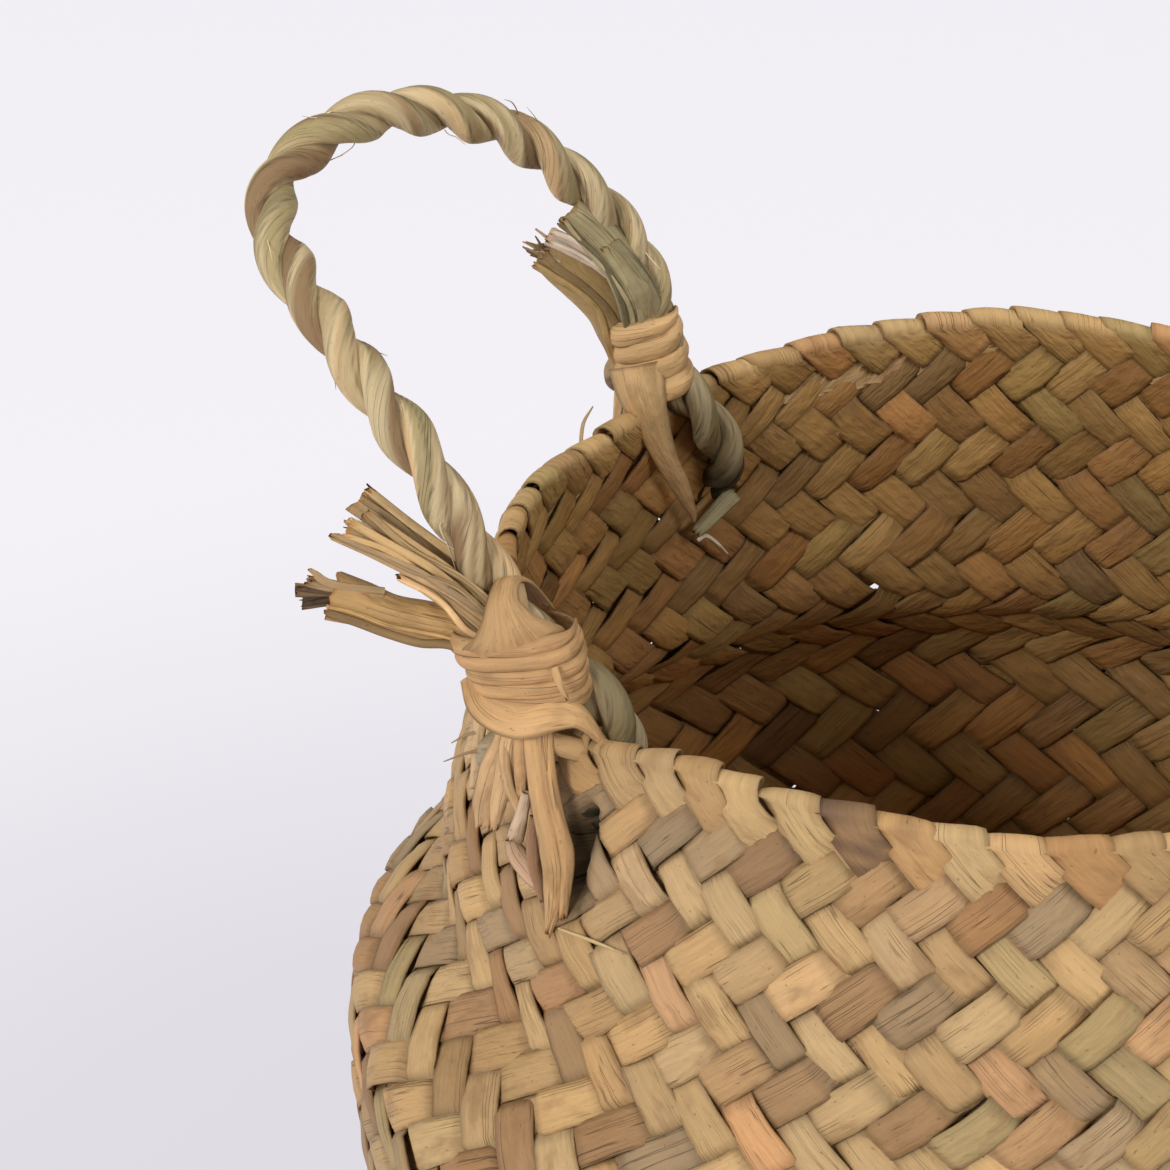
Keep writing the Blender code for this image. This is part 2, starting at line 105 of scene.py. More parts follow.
# Hand-made unevenness: degrees round the basket, lift of the rim, push out of the neck
RIM_UNEVEN = (
    (0, -1, 1.5), (20, -4, 1), (36, -8, 1), (50, -3, 0), (62, 2, 0), (75, 3.5, 0), (90, 4.5, 0),
    (102, 6, 0), (112, 4.5, 0), (122, 3.2, 0), (132, 1.2, 0), (144, -0.8, 1.5), (152, -2.4, 2),
    (160, -1.8, 2.6), (168, -1, 3.2), (176, 0.6, 3.5), (188, -1.5, 3.5), (204, -6, 3.5), (218, -8.8, 3),
    (226, -5.2, 1), (232, -1.5, 0), (242, 0, 0), (258, 0.2, 0), (270, -1, 0), (284, 0, 0), (300, 1.5, 0),
    (324, -1, 1.5), (345, 1, 2), (360, -1, 1.5),
)
TABLE_EASE_SHARES = ((-4.0, 0.25), (0.0, 0.5), (4.0, 0.25))
FOOT_RISE = 40.0
NECK_START = 196.0
NECK_RISE = 26.0
RIM_START = 200.0
RIM_RISE = 78.0

# Bulges of the wall: push out, height, reach; the one on the left also has its angle and turn
BULGES = ((-2.4, 126.0, 28.0), (1.8, 179.0, 15.0))
LEFT_BULGE = (1.6, 188.0, 16.0)
LEFT_BULGE_ANGLE = math.radians(190)
LEFT_BULGE_TURN = 0.7

# Slot that each long lashing pulls into the wall, and how far the painted shade in and round it reaches
DENT_ANGLE = math.radians(221.0)
DENT_HEIGHT = 256.0
DENT_DEPTH = 15.0
DENT_WIDTH = 3.0
DENT_REACH = 12.0
SLOT_SHADE_REACH = 1.7
SLOT_SHADE_SHARE = 0.97

# Rope handles: middle line of the standing rope, left side, from inside the rim round to inside again
STANDING_ROPE = (
    (-95, -74, 254.5), (-91.5, -72, 259), (-88.2, -70.2, 265), (-87, -69.5, 273), (-90.5, -70.5, 281),
    (-99, -70.5, 289), (-107.5, -70.5, 298.5), (-114, -70.5, 309.5), (-120.2, -70, 320),
    (-129.3, -69, 336.8), (-146, -52, 349.8), (-165, -26, 361), (-167.8, -5, 368.6), (-153, 20, 372.4),
    (-130, 45, 361.7), (-109.8, 62, 338), (-102, 67, 324.5), (-97.2, 70.5, 312), (-95.4, 72, 301),
    (-92.4, 71.5, 290), (-86.4, 72.7, 281.5), (-81.3, 78.5, 270.4), (-80, 84.5, 259.5), (-85.5, 92, 252),
)
FRONT_OUTER_LEG = (
    (-103, -60.5, 255), (-108.5, -64.5, 258), (-112, -69, 265), (-110.6, -72.5, 276), (-110, -73, 286),
    (-112.5, -73, 295),
)
BACK_OUTER_LEG = (
    (-84, 88, 254), (-91, 93, 256), (-98, 89, 267), (-102.5, 80, 280), (-103, 73.5, 293),
    (-102.5, 72, 303),
)
ROPE_LAY = 33.0
ROPE_STEP = 0.7
ROPE_START_TURN = 1.3
PLY_RADIUS = 3.35
PLY_OFFSET = 2.35
PLY_SIDES = 30
# Painted shade in the grooves where the two plies meet
GROOVE_PAINTED_SHADE = 0.55
# The rope turns darker from this height down, over this reach
LOWER_ROPE_DARK = 0.38
LOWER_ROPE_HEIGHT = 299.0
LOWER_ROPE_REACH = 8.0
# Painted shade on the rope where it goes into the slot: how dark, from what height down, and over what reach
ROPE_SLOT_SHADE = 0.80
SLOT_HEIGHT = 269.0
SLOT_REACH = 9.0
LEAVES_IN_PLY = 3
LEAF_TWIST = 0.3
LEAF_EDGE = 0.28
# Dark line along each rope leaf's edge: partly the leaf's own browner edge, partly painted shade under the
# step where one leaf lies over the next
LEAF_STEP_BROWN_AND_SHADE = 0.46
CURVE_STEPS = 24

# Leaves, loose fibres and windings
LEAF_LINES = 11
LEAF_STEP = 0.9
# Darker sides of each leaf: partly the leaf's own browner edge, partly painted shade in the gaps between
# overlapping leaves and windings
LEAF_SIDE_BROWN_AND_SHADE = 0.42
RIDGE = 0.16
CREASE = 0.22
STRANDS_BESIDE = 2
STRAND_REACH = 9.0
STRAND_SHADES = (0.72, 0.86, 1.10, 1.16)
STRAND_WIDTHS = (0.8, 1.8)
STRAY_FIBRES = 18
STRAY_LENGTHS = (4.0, 11.0)
STRAY_WIDTHS = (0.2, 0.4)
STRAY_COLOUR = (206, 184, 146)
FRAY_WIDTHS = (0.5, 1.1)
FRAY_SPREAD = 1.3
FRAY_COLOUR = (176, 150, 112)
WRAP_STEPS = 64
WRAP_START_TURN = -0.40
WRAP_END_TURN = -0.72
WRAP_RISE = 1.5
WRAP_ROLL = 0.60
WRAP_WOBBLE = 0.35
CUT_SHADE = (0.80, 0.62, 0.46)

# Tints of the plait: painted shade on the inside faces, painted light on the faces turned over the rim, the
# one stained rim strip, painted shade at strip edges and dives, and odd floats
STAIN_ANGLE = math.radians(250.5)
STAIN_SHADE = (0.42, 0.42, 0.55)
INSIDE_PAINTED_SHADE = (0.90, 0.80, 0.60)
RIM_PAINTED_LIGHT = (1.10, 1.10, 1.04)
STRIP_EDGE_SHADE = 0.24
DIVE_PAINTED_SHADE = 0.38
BRIGHT_SPREAD = 0.085
HUE_SPREAD = 0.022
OTHER_LEAF_SHARE = 0.30

# Windings, one strip each: middle across and height, half width, half depth, rise to the inner side
FRONT_RINGS = (
    (-104.6, 285.6, 11.2, 7.8, 0.6), (-105.6, 289, 12, 8.2, 1.4), (-106.8, 292.4, 12.5, 8.5, 2.2),
    (-108.2, 295.8, 12.9, 8.7, 2.6), (-109.4, 299, 12.9, 8.4, 2.4),
)
BACK_RINGS = (
    (-95.9, 288.4, 9, 8.2, 1.2), (-96.6, 293, 8.6, 7.8, 1.8), (-97.6, 298.4, 8.2, 7.6, 2.6),
    (-99, 303.4, 7.9, 7.4, 3.6),
)

# Each winding's rings, depth, strip width, roundness of its corners and colour
FRONT_WRAP = (FRONT_RINGS, -73.0, 4.4, 0.8, (186, 146, 100))
# The back winding's colour is painted lighter than the front one's: painted light against the shade that
# falls on it
BACK_WRAP = (BACK_RINGS, 72.0, 6.2, 0.85, (212, 172, 120))

# Groups of pieces on each side
ROPE = "handle_rope"
ENDS = "rope_ends"
WRAPS = "bindings"
TIES = "loose_ties"

# Leaf ends: group, roll, thickness, colour, ragged end, the way it faces, then (x, y, z, width) knots
FRONT = (0.0, -0.88, 0.47)
BACK = (0.1, -0.86, 0.5)
LEAVES = (
    (ENDS, 1.5, 0.9, (186, 156, 112), 1.2, FRONT, ((-106, -76, 294, 6), (-110.5, -73.5, 301, 6),
        (-116, -71, 305.8, 6), (-124.5, -71, 312.3, 7), (-132.6, -71, 318.7, 9), (-141, -71, 325.5, 10.5))),
    (ENDS, 0.5, 0.9, (206, 180, 144), 0.8, FRONT, ((-104.5, -77, 295, 3), (-109.5, -76, 302.2, 3),
        (-115.6, -74, 306.2, 2.6), (-123.9, -75, 311.6, 2.2), (-133, -75, 318, 2.4),
        (-142.6, -75, 322.8, 1.6))),
    (ENDS, 0.9, 1.0, (178, 146, 100), 1.5, FRONT, ((-105.5, -75.5, 294, 4), (-110, -75.6, 300.4, 4),
        (-116, -75.8, 305.3, 4.2), (-125.6, -77, 312.8, 4.6), (-133.7, -77, 317.8, 4.8),
        (-142.5, -77, 321.6, 4.4))),
    (ENDS, 0.8, 0.9, (190, 156, 112), 1, FRONT, ((-106, -75, 293, 3), (-110.6, -76.2, 299.6, 3),
        (-116, -76.8, 304.7, 2.6), (-121.4, -78, 309.5, 2.2), (-129.5, -78, 313.6, 2.4),
        (-137.7, -78, 317.4, 2), (-145.4, -78, 320.5, 1.2))),
    (ENDS, 1.7, 1.2, (196, 160, 114), 0, FRONT, ((-106, -75.5, 291, 11), (-111.5, -75.8, 297.6, 11),
        (-117, -75.6, 302.3, 9), (-123.6, -75.5, 307.4, 6.5), (-131.9, -75, 312, 4))),
    (ENDS, 0.8, 0.9, (160, 132, 92), 1, FRONT, ((-106.5, -77, 294, 4), (-112, -76, 302, 3.6),
        (-120, -75.4, 309.6, 3.4), (-130, -75.6, 317.4, 3), (-139, -75, 324.4, 2.6))),
    (ENDS, 2.7, 0.9, (188, 150, 98), 1, FRONT, ((-108, -78, 292, 18), (-115, -77, 297.4, 19),
        (-121, -76, 299.6, 22), (-127, -77, 301.2, 22), (-134, -77, 302.8, 20), (-140.5, -77, 304.6, 25),
        (-146.2, -77, 306.1, 29))),
    (ENDS, 1.2, 0.8, (128, 104, 74), 1.4, FRONT, ((-136, -73, 304, 3.2), (-146, -73.5, 305.6, 3.4),
        (-153.4, -74.5, 305.8, 3.2))),
    (ENDS, 1.0, 0.8, (112, 90, 66), 1.4, FRONT, ((-136, -72, 303, 3.2), (-146, -72.5, 303.4, 3.4),
        (-152.6, -73.5, 302.4, 3))),
    (ENDS, 1.0, 0.8, (150, 124, 90), 1, FRONT, ((-136, -74, 305, 2), (-146, -75, 307.8, 2.2),
        (-151, -76, 309.4, 1.6))),
    (WRAPS, 0.58, 0.9, (194, 154, 106), 0, (0.1, -0.9, 0.42), ((-107.2, -78.5, 293, 22),
        (-107.6, -80.8, 297.5, 23.5), (-108.2, -82.2, 301.2, 20), (-109.4, -81.6, 305.2, 13),
        (-110.6, -78.6, 308.8, 7), (-110, -73, 310.8, 5), (-107.6, -67, 307, 6), (-104.4, -63, 300, 8))),
    (WRAPS, 0.5, 0.8, (196, 156, 108), 0.8, FRONT, ((-99.6, -81, 295, 1.6), (-98.6, -83.2, 293.6, 1.6),
        (-97.6, -84, 291.6, 1.3), (-96.6, -84, 289.7, 0.8))),
    (WRAPS, 0.22, 0.9, (194, 154, 106), 0, FRONT, ((-117.2, -73, 288, 7), (-113.6, -79.6, 285.2, 9),
        (-107.4, -82, 283.6, 10), (-100.4, -81.8, 285, 8.6), (-94.5, -80.2, 283.4, 5.4),
        (-90, -77.8, 276.4, 2.8), (-87.5, -75, 270.5, 2.2))),
    (TIES, 0.35, 0.9, (198, 160, 116), 2, FRONT, ((-109, -77.4, 282, 5), (-110.2, -79.6, 276, 5.4),
        (-113.1, -76.5, 267, 6.2), (-115.4, -74, 257.5, 5.6), (-116.4, -72.5, 250.5, 3.4))),
    (TIES, 0.3, 0.8, (206, 168, 122), 2, FRONT, ((-107.6, -77.9, 282, 3.4), (-109.4, -80.2, 276, 3.6),
        (-110.8, -77.6, 266.4, 4.4), (-112.5, -75.4, 257.8, 3.4), (-113.5, -73.4, 250.8, 1.6))),
    (TIES, 0.3, 0.8, (198, 160, 114), 1.2, FRONT, ((-108, -78.4, 282, 2.2), (-110.2, -80.2, 274.8, 2.4),
        (-109.8, -79, 265.8, 2.4), (-108.2, -78.4, 260.4, 2), (-107, -78, 256.5, 1.2))),
    (TIES, 0.5, 0.8, (194, 152, 106), 1, FRONT, ((-106, -79.4, 283, 2.8), (-106.8, -81.4, 277, 3),
        (-107, -80, 269, 2.8), (-107.1, -78.6, 262.4, 1.8))),
    (TIES, 0.7, 1.2, (206, 178, 146), 1, FRONT, ((-105.8, -79.6, 264, 2.2), (-106.8, -79, 259, 2.8),
        (-107.8, -78, 254.6, 3.6), (-108.8, -77.2, 250.6, 4))),
    (TIES, 0.9, 1.2, (192, 156, 124), 1.6, FRONT, ((-109.4, -77, 250.8, 2.6), (-108.4, -77.2, 247.4, 4.6),
        (-105.6, -78.2, 243.6, 4.4), (-103, -79.4, 240.8, 2.4))),
    (TIES, 0.9, 1.0, (150, 112, 82), 1.6, FRONT, ((-104.2, -80.4, 259, 1.6), (-104.6, -80, 252, 3),
        (-104, -80.2, 245, 3), (-102.4, -81, 239, 1.4))),
    (TIES, 0.8, 1.1, (194, 154, 106), 1.8, FRONT, ((-103.6, -79.8, 284, 5.6), (-103.4, -82.6, 278, 5.8),
        (-102.2, -83, 266.4, 5.8), (-100.4, -83.4, 256, 6.6), (-99.2, -83.6, 247, 6),
        (-99.6, -83.8, 239, 4.2), (-100.9, -83.4, 232, 1.2))),
    (TIES, 0.6, 0.9, (186, 146, 100), 1.6, FRONT, ((-101.6, -80, 282, 2.6), (-100.4, -82.8, 270, 2.8),
        (-98.2, -83.2, 258, 3.4), (-96.8, -83.6, 250, 3.2), (-97.6, -84.4, 237, 1.8))),
    (TIES, 0.3, 0.5, (206, 178, 128), 0.3, FRONT, ((-98.4, -85.6, 235, 0.5), (-90.4, -93.4, 237.6, 0.8),
        (-83, -99.2, 238.8, 0.3))),
    (TIES, 0.2, 0.5, (150, 122, 90), 0.2, FRONT, ((-116.5, -71, 273, 0.7), (-119.6, -70, 271.4, 0.6),
        (-123.2, -68, 268, 0.2))),
    (TIES, 0.2, 0.5, (150, 122, 90), 0.2, FRONT, ((-116.5, -71, 268.6, 0.7), (-120, -70, 266.8, 0.6),
        (-125.2, -66.5, 262.4, 0.2))),
    (TIES, 0.8, 0.9, (196, 164, 122), 0.8, (-0.6, -0.7, 0.3), ((-114, -73, 286, 4.6),
        (-116.4, -71.5, 280, 5), (-117.6, -70, 272, 4.6), (-118.4, -68, 263, 3.6),
        (-119.4, -66, 256, 2.2))),
    (TIES, 0.7, 1.2, (186, 150, 104), 0.6, FRONT, ((-104, -80.6, 279.5, 2.6), (-99.4, -80, 276.6, 4.6),
        (-94, -78.6, 274.2, 5), (-89.6, -76.8, 272.2, 3.6))),
    (ENDS, 2.2, 1.0, (166, 138, 92), 1.4, BACK, ((-102, 70, 293, 18), (-103.6, 69, 301, 24),
        (-107, 68, 308, 28), (-112.6, 67.5, 314, 28), (-117.6, 67.5, 318, 25), (-121.8, 68, 320.6, 21))),
    (ENDS, 0.9, 1.6, (222, 198, 176), 0.6, BACK, ((-105.6, 70, 314, 1.6),
        (-109.6, 69.5, 318.2, 3), (-114.6, 69, 321.6, 4.6), (-120.6, 69, 324.4, 5))),
    (ENDS, 1.2, 1.0, (166, 152, 114), 0.8, BACK, ((-98.6, 69.5, 297, 12),
        (-98.8, 66.6, 304.6, 12), (-99.8, 62.2, 313.4, 12.5), (-104.2, 59.6, 322.8, 12.5),
        (-109.6, 57.6, 330.6, 12), (-114.4, 56.4, 335.6, 10))),
    (ENDS, 1.0, 0.8, (150, 138, 104), 0.8, BACK, ((-96, 69.5, 298, 6), (-96, 65.8, 308, 6),
        (-99, 62, 318, 6), (-105, 58.6, 328, 5))),
    (WRAPS, 0.5, 0.9, (208, 170, 120), 0, (-0.1, -0.85, 0.4), ((-99.8, 63.6, 295, 13), (-98, 62, 288, 12),
        (-95.8, 62.6, 281, 9), (-92.8, 65.8, 270.5, 6.4), (-89.6, 71.5, 260, 4.8), (-87.4, 77, 251, 2.6),
        (-86.9, 79.8, 246.4, 1))),
    (WRAPS, 0.5, 0.9, (206, 170, 122), 0, (-0.8, -0.5, 0.2), ((-103, 68.5, 294, 6), (-104, 68, 286, 5),
        (-104.4, 67, 279, 3.6))),
    (TIES, 0.5, 0.9, (160, 148, 112), 0.8, (0.3, -0.8, 0.4), ((-77.6, 87.6, 251, 4.6),
        (-82, 84.6, 247, 4.4), (-86.4, 81.6, 242.4, 3.2))),
    (TIES, 0.4, 0.7, (226, 212, 190), 0.2, (0.3, -0.8, 0.4), ((-86.2, 82.4, 240, 0.9),
        (-84.4, 84.2, 240.6, 1), (-82, 87.4, 237.2, 1), (-79.4, 91.4, 232, 0.5))),
    (TIES, 0.2, 0.5, (178, 152, 112), 0.2, FRONT, ((-111, 52, 279, 0.9), (-110.6, 54, 284, 0.8),
        (-108.6, 56, 287.6, 0.3))),
)

# Frayed end of the short bundle: its root, way, number of fibres and their length
FRAY = ((-121.6, 69.0, 320.6), (-0.80, -0.10, 0.46), 16, 4.5)

# Leaf colours: red, green, blue and how often each comes
SEAGRASS_COLOURS = (
    (202, 166, 115, 28), (190, 153, 105, 26), (199, 152, 106, 10), (178, 152, 104, 15), (164, 136, 100, 11),
    (166, 126, 84, 6), (188, 144, 90, 3), (142, 110, 76, 1),
)
ROPE_COLOURS = (
    (192, 168, 126, 28), (210, 188, 146, 20), (206, 172, 126, 16), (166, 148, 106, 24), (146, 118, 84, 12),
)

# Warm patches and dirt on the leaf, and the depth of its grain
WARM_COLOUR = (142, 106, 70)
DIRT_COLOUR = (92, 68, 46)
BUMP_DEPTH = 0.45

# Studio: the floor as lit, and as the camera sees it far from the basket and near it, where a painted shade
# darkens it
FLOOR_REACH_M = 12.0
FLOOR_COLOUR = (232, 230, 236)
FLOOR_SEEN_COLOUR = (251, 248, 254)
FLOOR_SEEN_SHARE = 0.8
FLOOR_PAINTED_SHADE_COLOUR = (227, 223, 231)
FLOOR_NEAR_M = 0.25
FLOOR_FAR_M = 0.66
WORLD_COLOUR = (1.0, 0.98, 0.95)
WORLD_STRENGTH = 0.30

# Lamps: name, place, size and power
LAMP_AIM = (0.0, 0.0, 0.2)
LAMPS = (
    ("key", (-1.3, -2.6, 1.9), 0.9, 52.0),
    ("side", (-2.6, -0.6, 1.0), 1.0, 14.0),
    ("fill", (2.4, -1.3, 1.6), 1.2, 27.0),
    ("top", (0.3, 0.3, 2.8), 1.2, 17.0),
)


def smooth(value):
    """Soft step from 0 to 1."""
    value = np.clip(value, 0.0, 1.0)
    return value * value * (3 - 2 * value)


def unit(values):
    """Vectors at length one."""
    return values / np.linalg.norm(values, axis=-1, keepdims=True)


def turn_from(angle, other):
    """Angle less the other, between minus and plus half a turn."""
    return (angle - other + math.pi) % math.tau - math.pi


def splines(knots, share):
    """Points by share on the smooth curve between each two knots, for all but the outer ones."""
    parts = []
    for before, start, end, after in zip(knots, knots[1:], knots[2:], knots[3:]):
        part = 2 * start + (end - before) * share
        part = part + (2 * before - 5 * start + 4 * end - after) * share ** 2
        part = part + (3 * start - before - 3 * end + after) * share ** 3
        parts.append(part / 2)
    return np.concatenate(parts)


def line_way(line):
    """Unit way along the wall's line at each point, level where it leaves the base."""
    way = np.gradient(line, axis=0)
    way[0] = (1.0, 0.0)
    return unit(way)


class Wander:
    """Smooth random values along a line or over a plane, the same each run."""

    def __init__(self, seed, size=257):
        self.size = size
        self.table = np.random.default_rng(seed).uniform(-1.0, 1.0, (size, size))

    def __call__(self, x, y=0.0):
        x, y = np.broadcast_arrays(np.asarray(x, float), np.asarray(y, float))
        left = np.floor(x).astype(int)
        low = np.floor(y).astype(int)
        across = smooth(x - left)
        up = smooth(y - low)
        rows = []
        for row in (low % self.size, (low + 1) % self.size):
            near = self.table[left % self.size, row]
            far = self.table[(left + 1) % self.size, row]
            rows.append(near * (1 - across) + far * across)
        return rows[0] * (1 - up) + rows[1] * up


def wall_middle():
    """(radius, height) of the wall's middle line, from the base's edge to the fold at the rim."""
    height = WIDEST_HEIGHT * (np.arange(BELLY_STEPS + 1) / BELLY_STEPS) ** BELLY_STEP_POWER
    share = 1 - (1 - height / WIDEST_HEIGHT) ** 2
    radius = BASE_RADIUS + (WIDEST_RADIUS - BASE_RADIUS) * share ** BELLY_FULLNESS_SHARE
    outer = np.stack([radius, height], axis=1)
    knots = np.concatenate([outer[[-4, -1]], SHOULDER_LINE])
    knots = np.concatenate([knots, [2 * knots[-1] - knots[-2]]])
    share = np.arange(1, SHOULDER_STEPS + 1)[:, None] / SHOULDER_STEPS
    outer = np.concatenate([outer, splines(knots, share)])
    way = line_way(outer)
    return outer + np.stack([-way[:, 1], way[:, 0]], axis=1) * WALL / 2


def plait_rows(line):
    """Row number of each point of the middle line. The last point is the fold, on a whole row."""
    run = np.linalg.norm(np.diff(line, axis=0), axis=1)
    radius = (line[1:, 0] + line[:-1, 0]) / 2
    pitch = math.tau * radius / STRIPS_EACH_WAY
    width = np.interp(radius, STRIP_WIDTHS[0], STRIP_WIDTHS[1])
    climb = np.tan(np.arcsin(width / pitch))
    rows = np.concatenate([[0.0], np.cumsum(run / (pitch / 2 * climb))])
    return BASE_ROWS + rows * round(rows[-1]) / rows[-1]


# Middle line of the wall, its rows and its way, and the turn from one row to the next
LINE = wall_middle()
LINE_ROWS = plait_rows(LINE)
LINE_WAY = line_way(LINE)
FOLD_ROW = int(round(LINE_ROWS[-1]))
QUARTER_TURN = math.pi / 2
ROW_TURN = math.pi / STRIPS_EACH_WAY

# Seeds of the random draws, and smooth random values
BODY_SEED = 5
LEFT_SEED = 21
RIGHT_SEED = 22
wave = Wander(11)
drift = Wander(12)
mottle = Wander(13)


def wall_line(row):
    """Radius and height of the wall's middle line at a row, and its way out and up."""
    return [np.interp(row, LINE_ROWS, column) for column in (*LINE.T, *LINE_WAY.T)]


def round_table(angle, column):
    """A column of the unevenness table at an angle, eased between its rows."""
    table = np.array(RIM_UNEVEN)
    total = 0.0
    for shift, share in TABLE_EASE_SHARES:
        turned = (np.degrees(angle) + shift) % 360
        total = total + share * np.interp(turned, table[:, 0], table[:, column])
    return total


def dent_share(angle, radius, height, wider=1.0):
    """How deep a place lies in the slot that each long lashing pulls into the wall."""
    total = 0.0
    for foot in (DENT_ANGLE, DENT_ANGLE - math.pi):
        apart = turn_from(angle, foot) * radius / (DENT_WIDTH * wider)
        total = total + np.exp(-apart ** 4 - ((height - DENT_HEIGHT) / DENT_REACH) ** 4)
    return total


def painted_slot_shade(angle, row):
    """Share of painted shade at a place in the wall, in and round the slots, standing in for the deep
    recess's shadow.
    """
    radius, height, _, _ = wall_line(row)
    return SLOT_SHADE_SHARE * dent_share(angle, radius, height, SLOT_SHADE_REACH)


def settle(angle, radius, height):
    """Points of the hand-made body: no circle is true, and the rim dips under each lashing."""
    drifts = 0.9 * drift(angle * 2.4 + 40, height / 45) + 0.6 * drift(angle * 7 + 80, height / 20)
    neck = smooth((height - NECK_START) / NECK_RISE)
    near_rim = smooth((height - RIM_START) / RIM_RISE)
    radius = radius + smooth(height / FOOT_RISE) * drifts
    for push, middle, reach in BULGES:
        radius = radius + push * np.exp(-((height - middle) / reach) ** 2)
    push, middle, reach = LEFT_BULGE
    side = turn_from(angle, LEFT_BULGE_ANGLE) / LEFT_BULGE_TURN
    radius = radius + push * np.exp(-((height - middle) / reach) ** 2 - side ** 2)
    radius = radius + round_table(angle, 2) * neck
    radius = radius - DENT_DEPTH * dent_share(angle, radius, height)
    height = height + (round_table(angle, 1) + 0.5 * drift(angle * 11 + 9, 3.3)) * near_rim
    return np.stack([radius * np.cos(angle), radius * np.sin(angle), np.maximum(height, FLOOR_GAP)], axis=-1)


def wall_place(angle, row, offset):
    """Points at an angle, a row and an offset out of the wall's middle. The lowest rows lie in the base."""
    radius, height, way_out, way_up = wall_line(row)
    radius = np.where(row < BASE_ROWS, BASE_RADIUS * row / BASE_ROWS, radius)
    return settle(angle, radius + offset * way_up, height - offset * way_out)


def fold_place(angle, bend, offset, reach):
    """Points on the turn over the rim: bend runs from 0 inside to pi outside."""
    way = LINE_WAY[-1]
    out = np.array([way[1], -way[0]])
    centre = LINE[-1] + out * (FOLD_RADIUS - RELIEF)
    reach = reach - offset
    parts = zip(centre, out, way)
    turned = [start - x * np.cos(bend) * reach + y * np.sin(bend) * reach for start, x, y in parts]
    return settle(angle, *turned)


def linear(colour):
    """Scene-linear values of an ordinary screen colour."""
    colour = np.asarray(colour, float) / 255
    return np.where(colour <= 0.04045, colour / 12.92, ((colour + 0.055) / 1.055) ** 2.4)


class Fibre:
    """Collects closed strips and cords into one mesh, with a tint and a grain map for the plant fibre."""

    def __init__(self):
        self.points = []
        self.quads = []
        self.caps = []
        self.tints = []
        self.grains = []
        self.cap_grains = []
        self.count = 0

    def add(self, rings, across, along, tint, seam=None):
        """Rings of points, each with its place across and along the fibre; seam closes a round one."""
        steps, around = rings.shape[:2]
        index = self.count + np.arange(steps * around).reshape(steps, around)
        next_across = np.roll(across, -1, axis=1)
        if seam is not None:
            next_across[:, -1] = seam

        def corners(values, after):
            return np.stack([values[:-1], after[:-1], after[1:], values[1:]], axis=-1)

        quads = corners(index, np.roll(index, -1, axis=1))
        length = corners(along, np.roll(along, -1, axis=1))
        grains = np.stack([corners(across, next_across), length], axis=-1)
        start = rings[:-1]
        normal = np.cross(np.roll(rings, -1, axis=1)[:-1] - start, rings[1:] - start)
        if np.sum(normal * (start - start.mean(axis=1, keepdims=True))) < 0:
            quads = quads[..., ::-1]
            grains = grains[..., ::-1, :]
        self.points.append(rings.reshape(-1, 3))
        self.quads.append(quads.reshape(-1, 4))
        self.grains.append(grains.reshape(-1, 4, 2))
        self.tints.append(np.broadcast_to(tint, rings.shape).reshape(-1, 3))
        for ring, places, lengths in ((index[0], across[0], along[0]), (index[-1], across[-1], along[-1])):
            self.caps.append(ring)
            self.cap_grains.append(np.stack([places, lengths], axis=-1))
        self.count += steps * around

    def add_strip(self, top, low, places, apart, along, tints):
        """A flat strip from its two faces, whose grain lies apart, with a tint for each face."""
        rings = np.concatenate([top, low[:, ::-1]], axis=1)
        across = np.broadcast_to(np.concatenate([places, places[::-1] + apart]), rings.shape[:2])
        tint = np.concatenate([tints[0], tints[1][:, ::-1]], axis=1)
        self.add(rings, across, np.broadcast_to(along, rings.shape[:2]), tint)

    def make(self, name, finish, slot):
        """The mesh as a named piece, in metres."""
        points = np.concatenate(self.points) * MM
        quads = np.concatenate(self.quads)
        loops = np.concatenate([quads.ravel()] + self.caps)
        totals = np.concatenate([np.full(len(quads), 4), [len(cap) for cap in self.caps]]).astype(int)
        starts = np.concatenate([[0], np.cumsum(totals)[:-1]])
        grains = np.concatenate([np.concatenate(self.grains).reshape(-1, 2)] + self.cap_grains)
        mesh = bpy.data.meshes.new(name)
        mesh.vertices.add(len(points))
        mesh.vertices.foreach_set("co", points.ravel())
        mesh.loops.add(len(loops))
        mesh.loops.foreach_set("vertex_index", loops)
        mesh.polygons.add(len(totals))
        mesh.polygons.foreach_set("loop_start", starts)
        mesh.polygons.foreach_set("loop_total", totals)
        mesh.update(calc_edges=True)
        mesh.polygons.foreach_set("use_smooth", np.ones(len(totals), bool))
        tint = mesh.color_attributes.new("tint", "FLOAT_COLOR", "POINT")
        colours = np.concatenate([np.concatenate(self.tints), np.ones((len(points), 1))], axis=1)
        tint.data.foreach_set("color", colours.ravel())
        layer = mesh.uv_layers.new(name="grain")
        layer.data.foreach_set("uv", grains.ravel())
        mesh.materials.append(finish)
        piece = bpy.data.objects.new(name, mesh)
        bpy.context.scene.collection.objects.link(piece)
        return piece


def pick_tints(random, count, palette):
    """Colours drawn from a palette of (red, green, blue, share)."""
    table = np.array(palette, float)
    rows = random.choice(len(table), size=count, p=table[:, 3] / table[:, 3].sum())
    return linear(table[rows, :3])


def cell_values(cells, fixed, rises):
    """Over, +1, or under, -1, in each cell of a half strip. Rises is true where it climbs anticlockwise."""
    row = np.round(fixed + cells + 0.5).astype(int)
    over = np.isin((row - FOLD_ROW) % 4, (1, 2)) & (row < FOLD_ROW)
    return np.where(over == rises, 1.0, -1.0)


def strip_offset(run, values):
    """Height of a strip's middle over the wall's middle, from its run in cells and each cell's value."""
    edge = np.clip(np.round(run).astype(int), 0, len(values) - 1)
    before = np.where(edge > 0, values[edge - 1], -values[0])
    after = values[edge]
    share = smooth((run - edge) / (2 * DIVE_SHARE) + 0.5)
    offset = before * (1 - share) + after * share
    crown = np.where(before == after, after * np.exp(-((run - edge) / CROWN_REACH) ** 2), 0.0)
    return RELIEF * offset + FLOAT_CROWN * crown


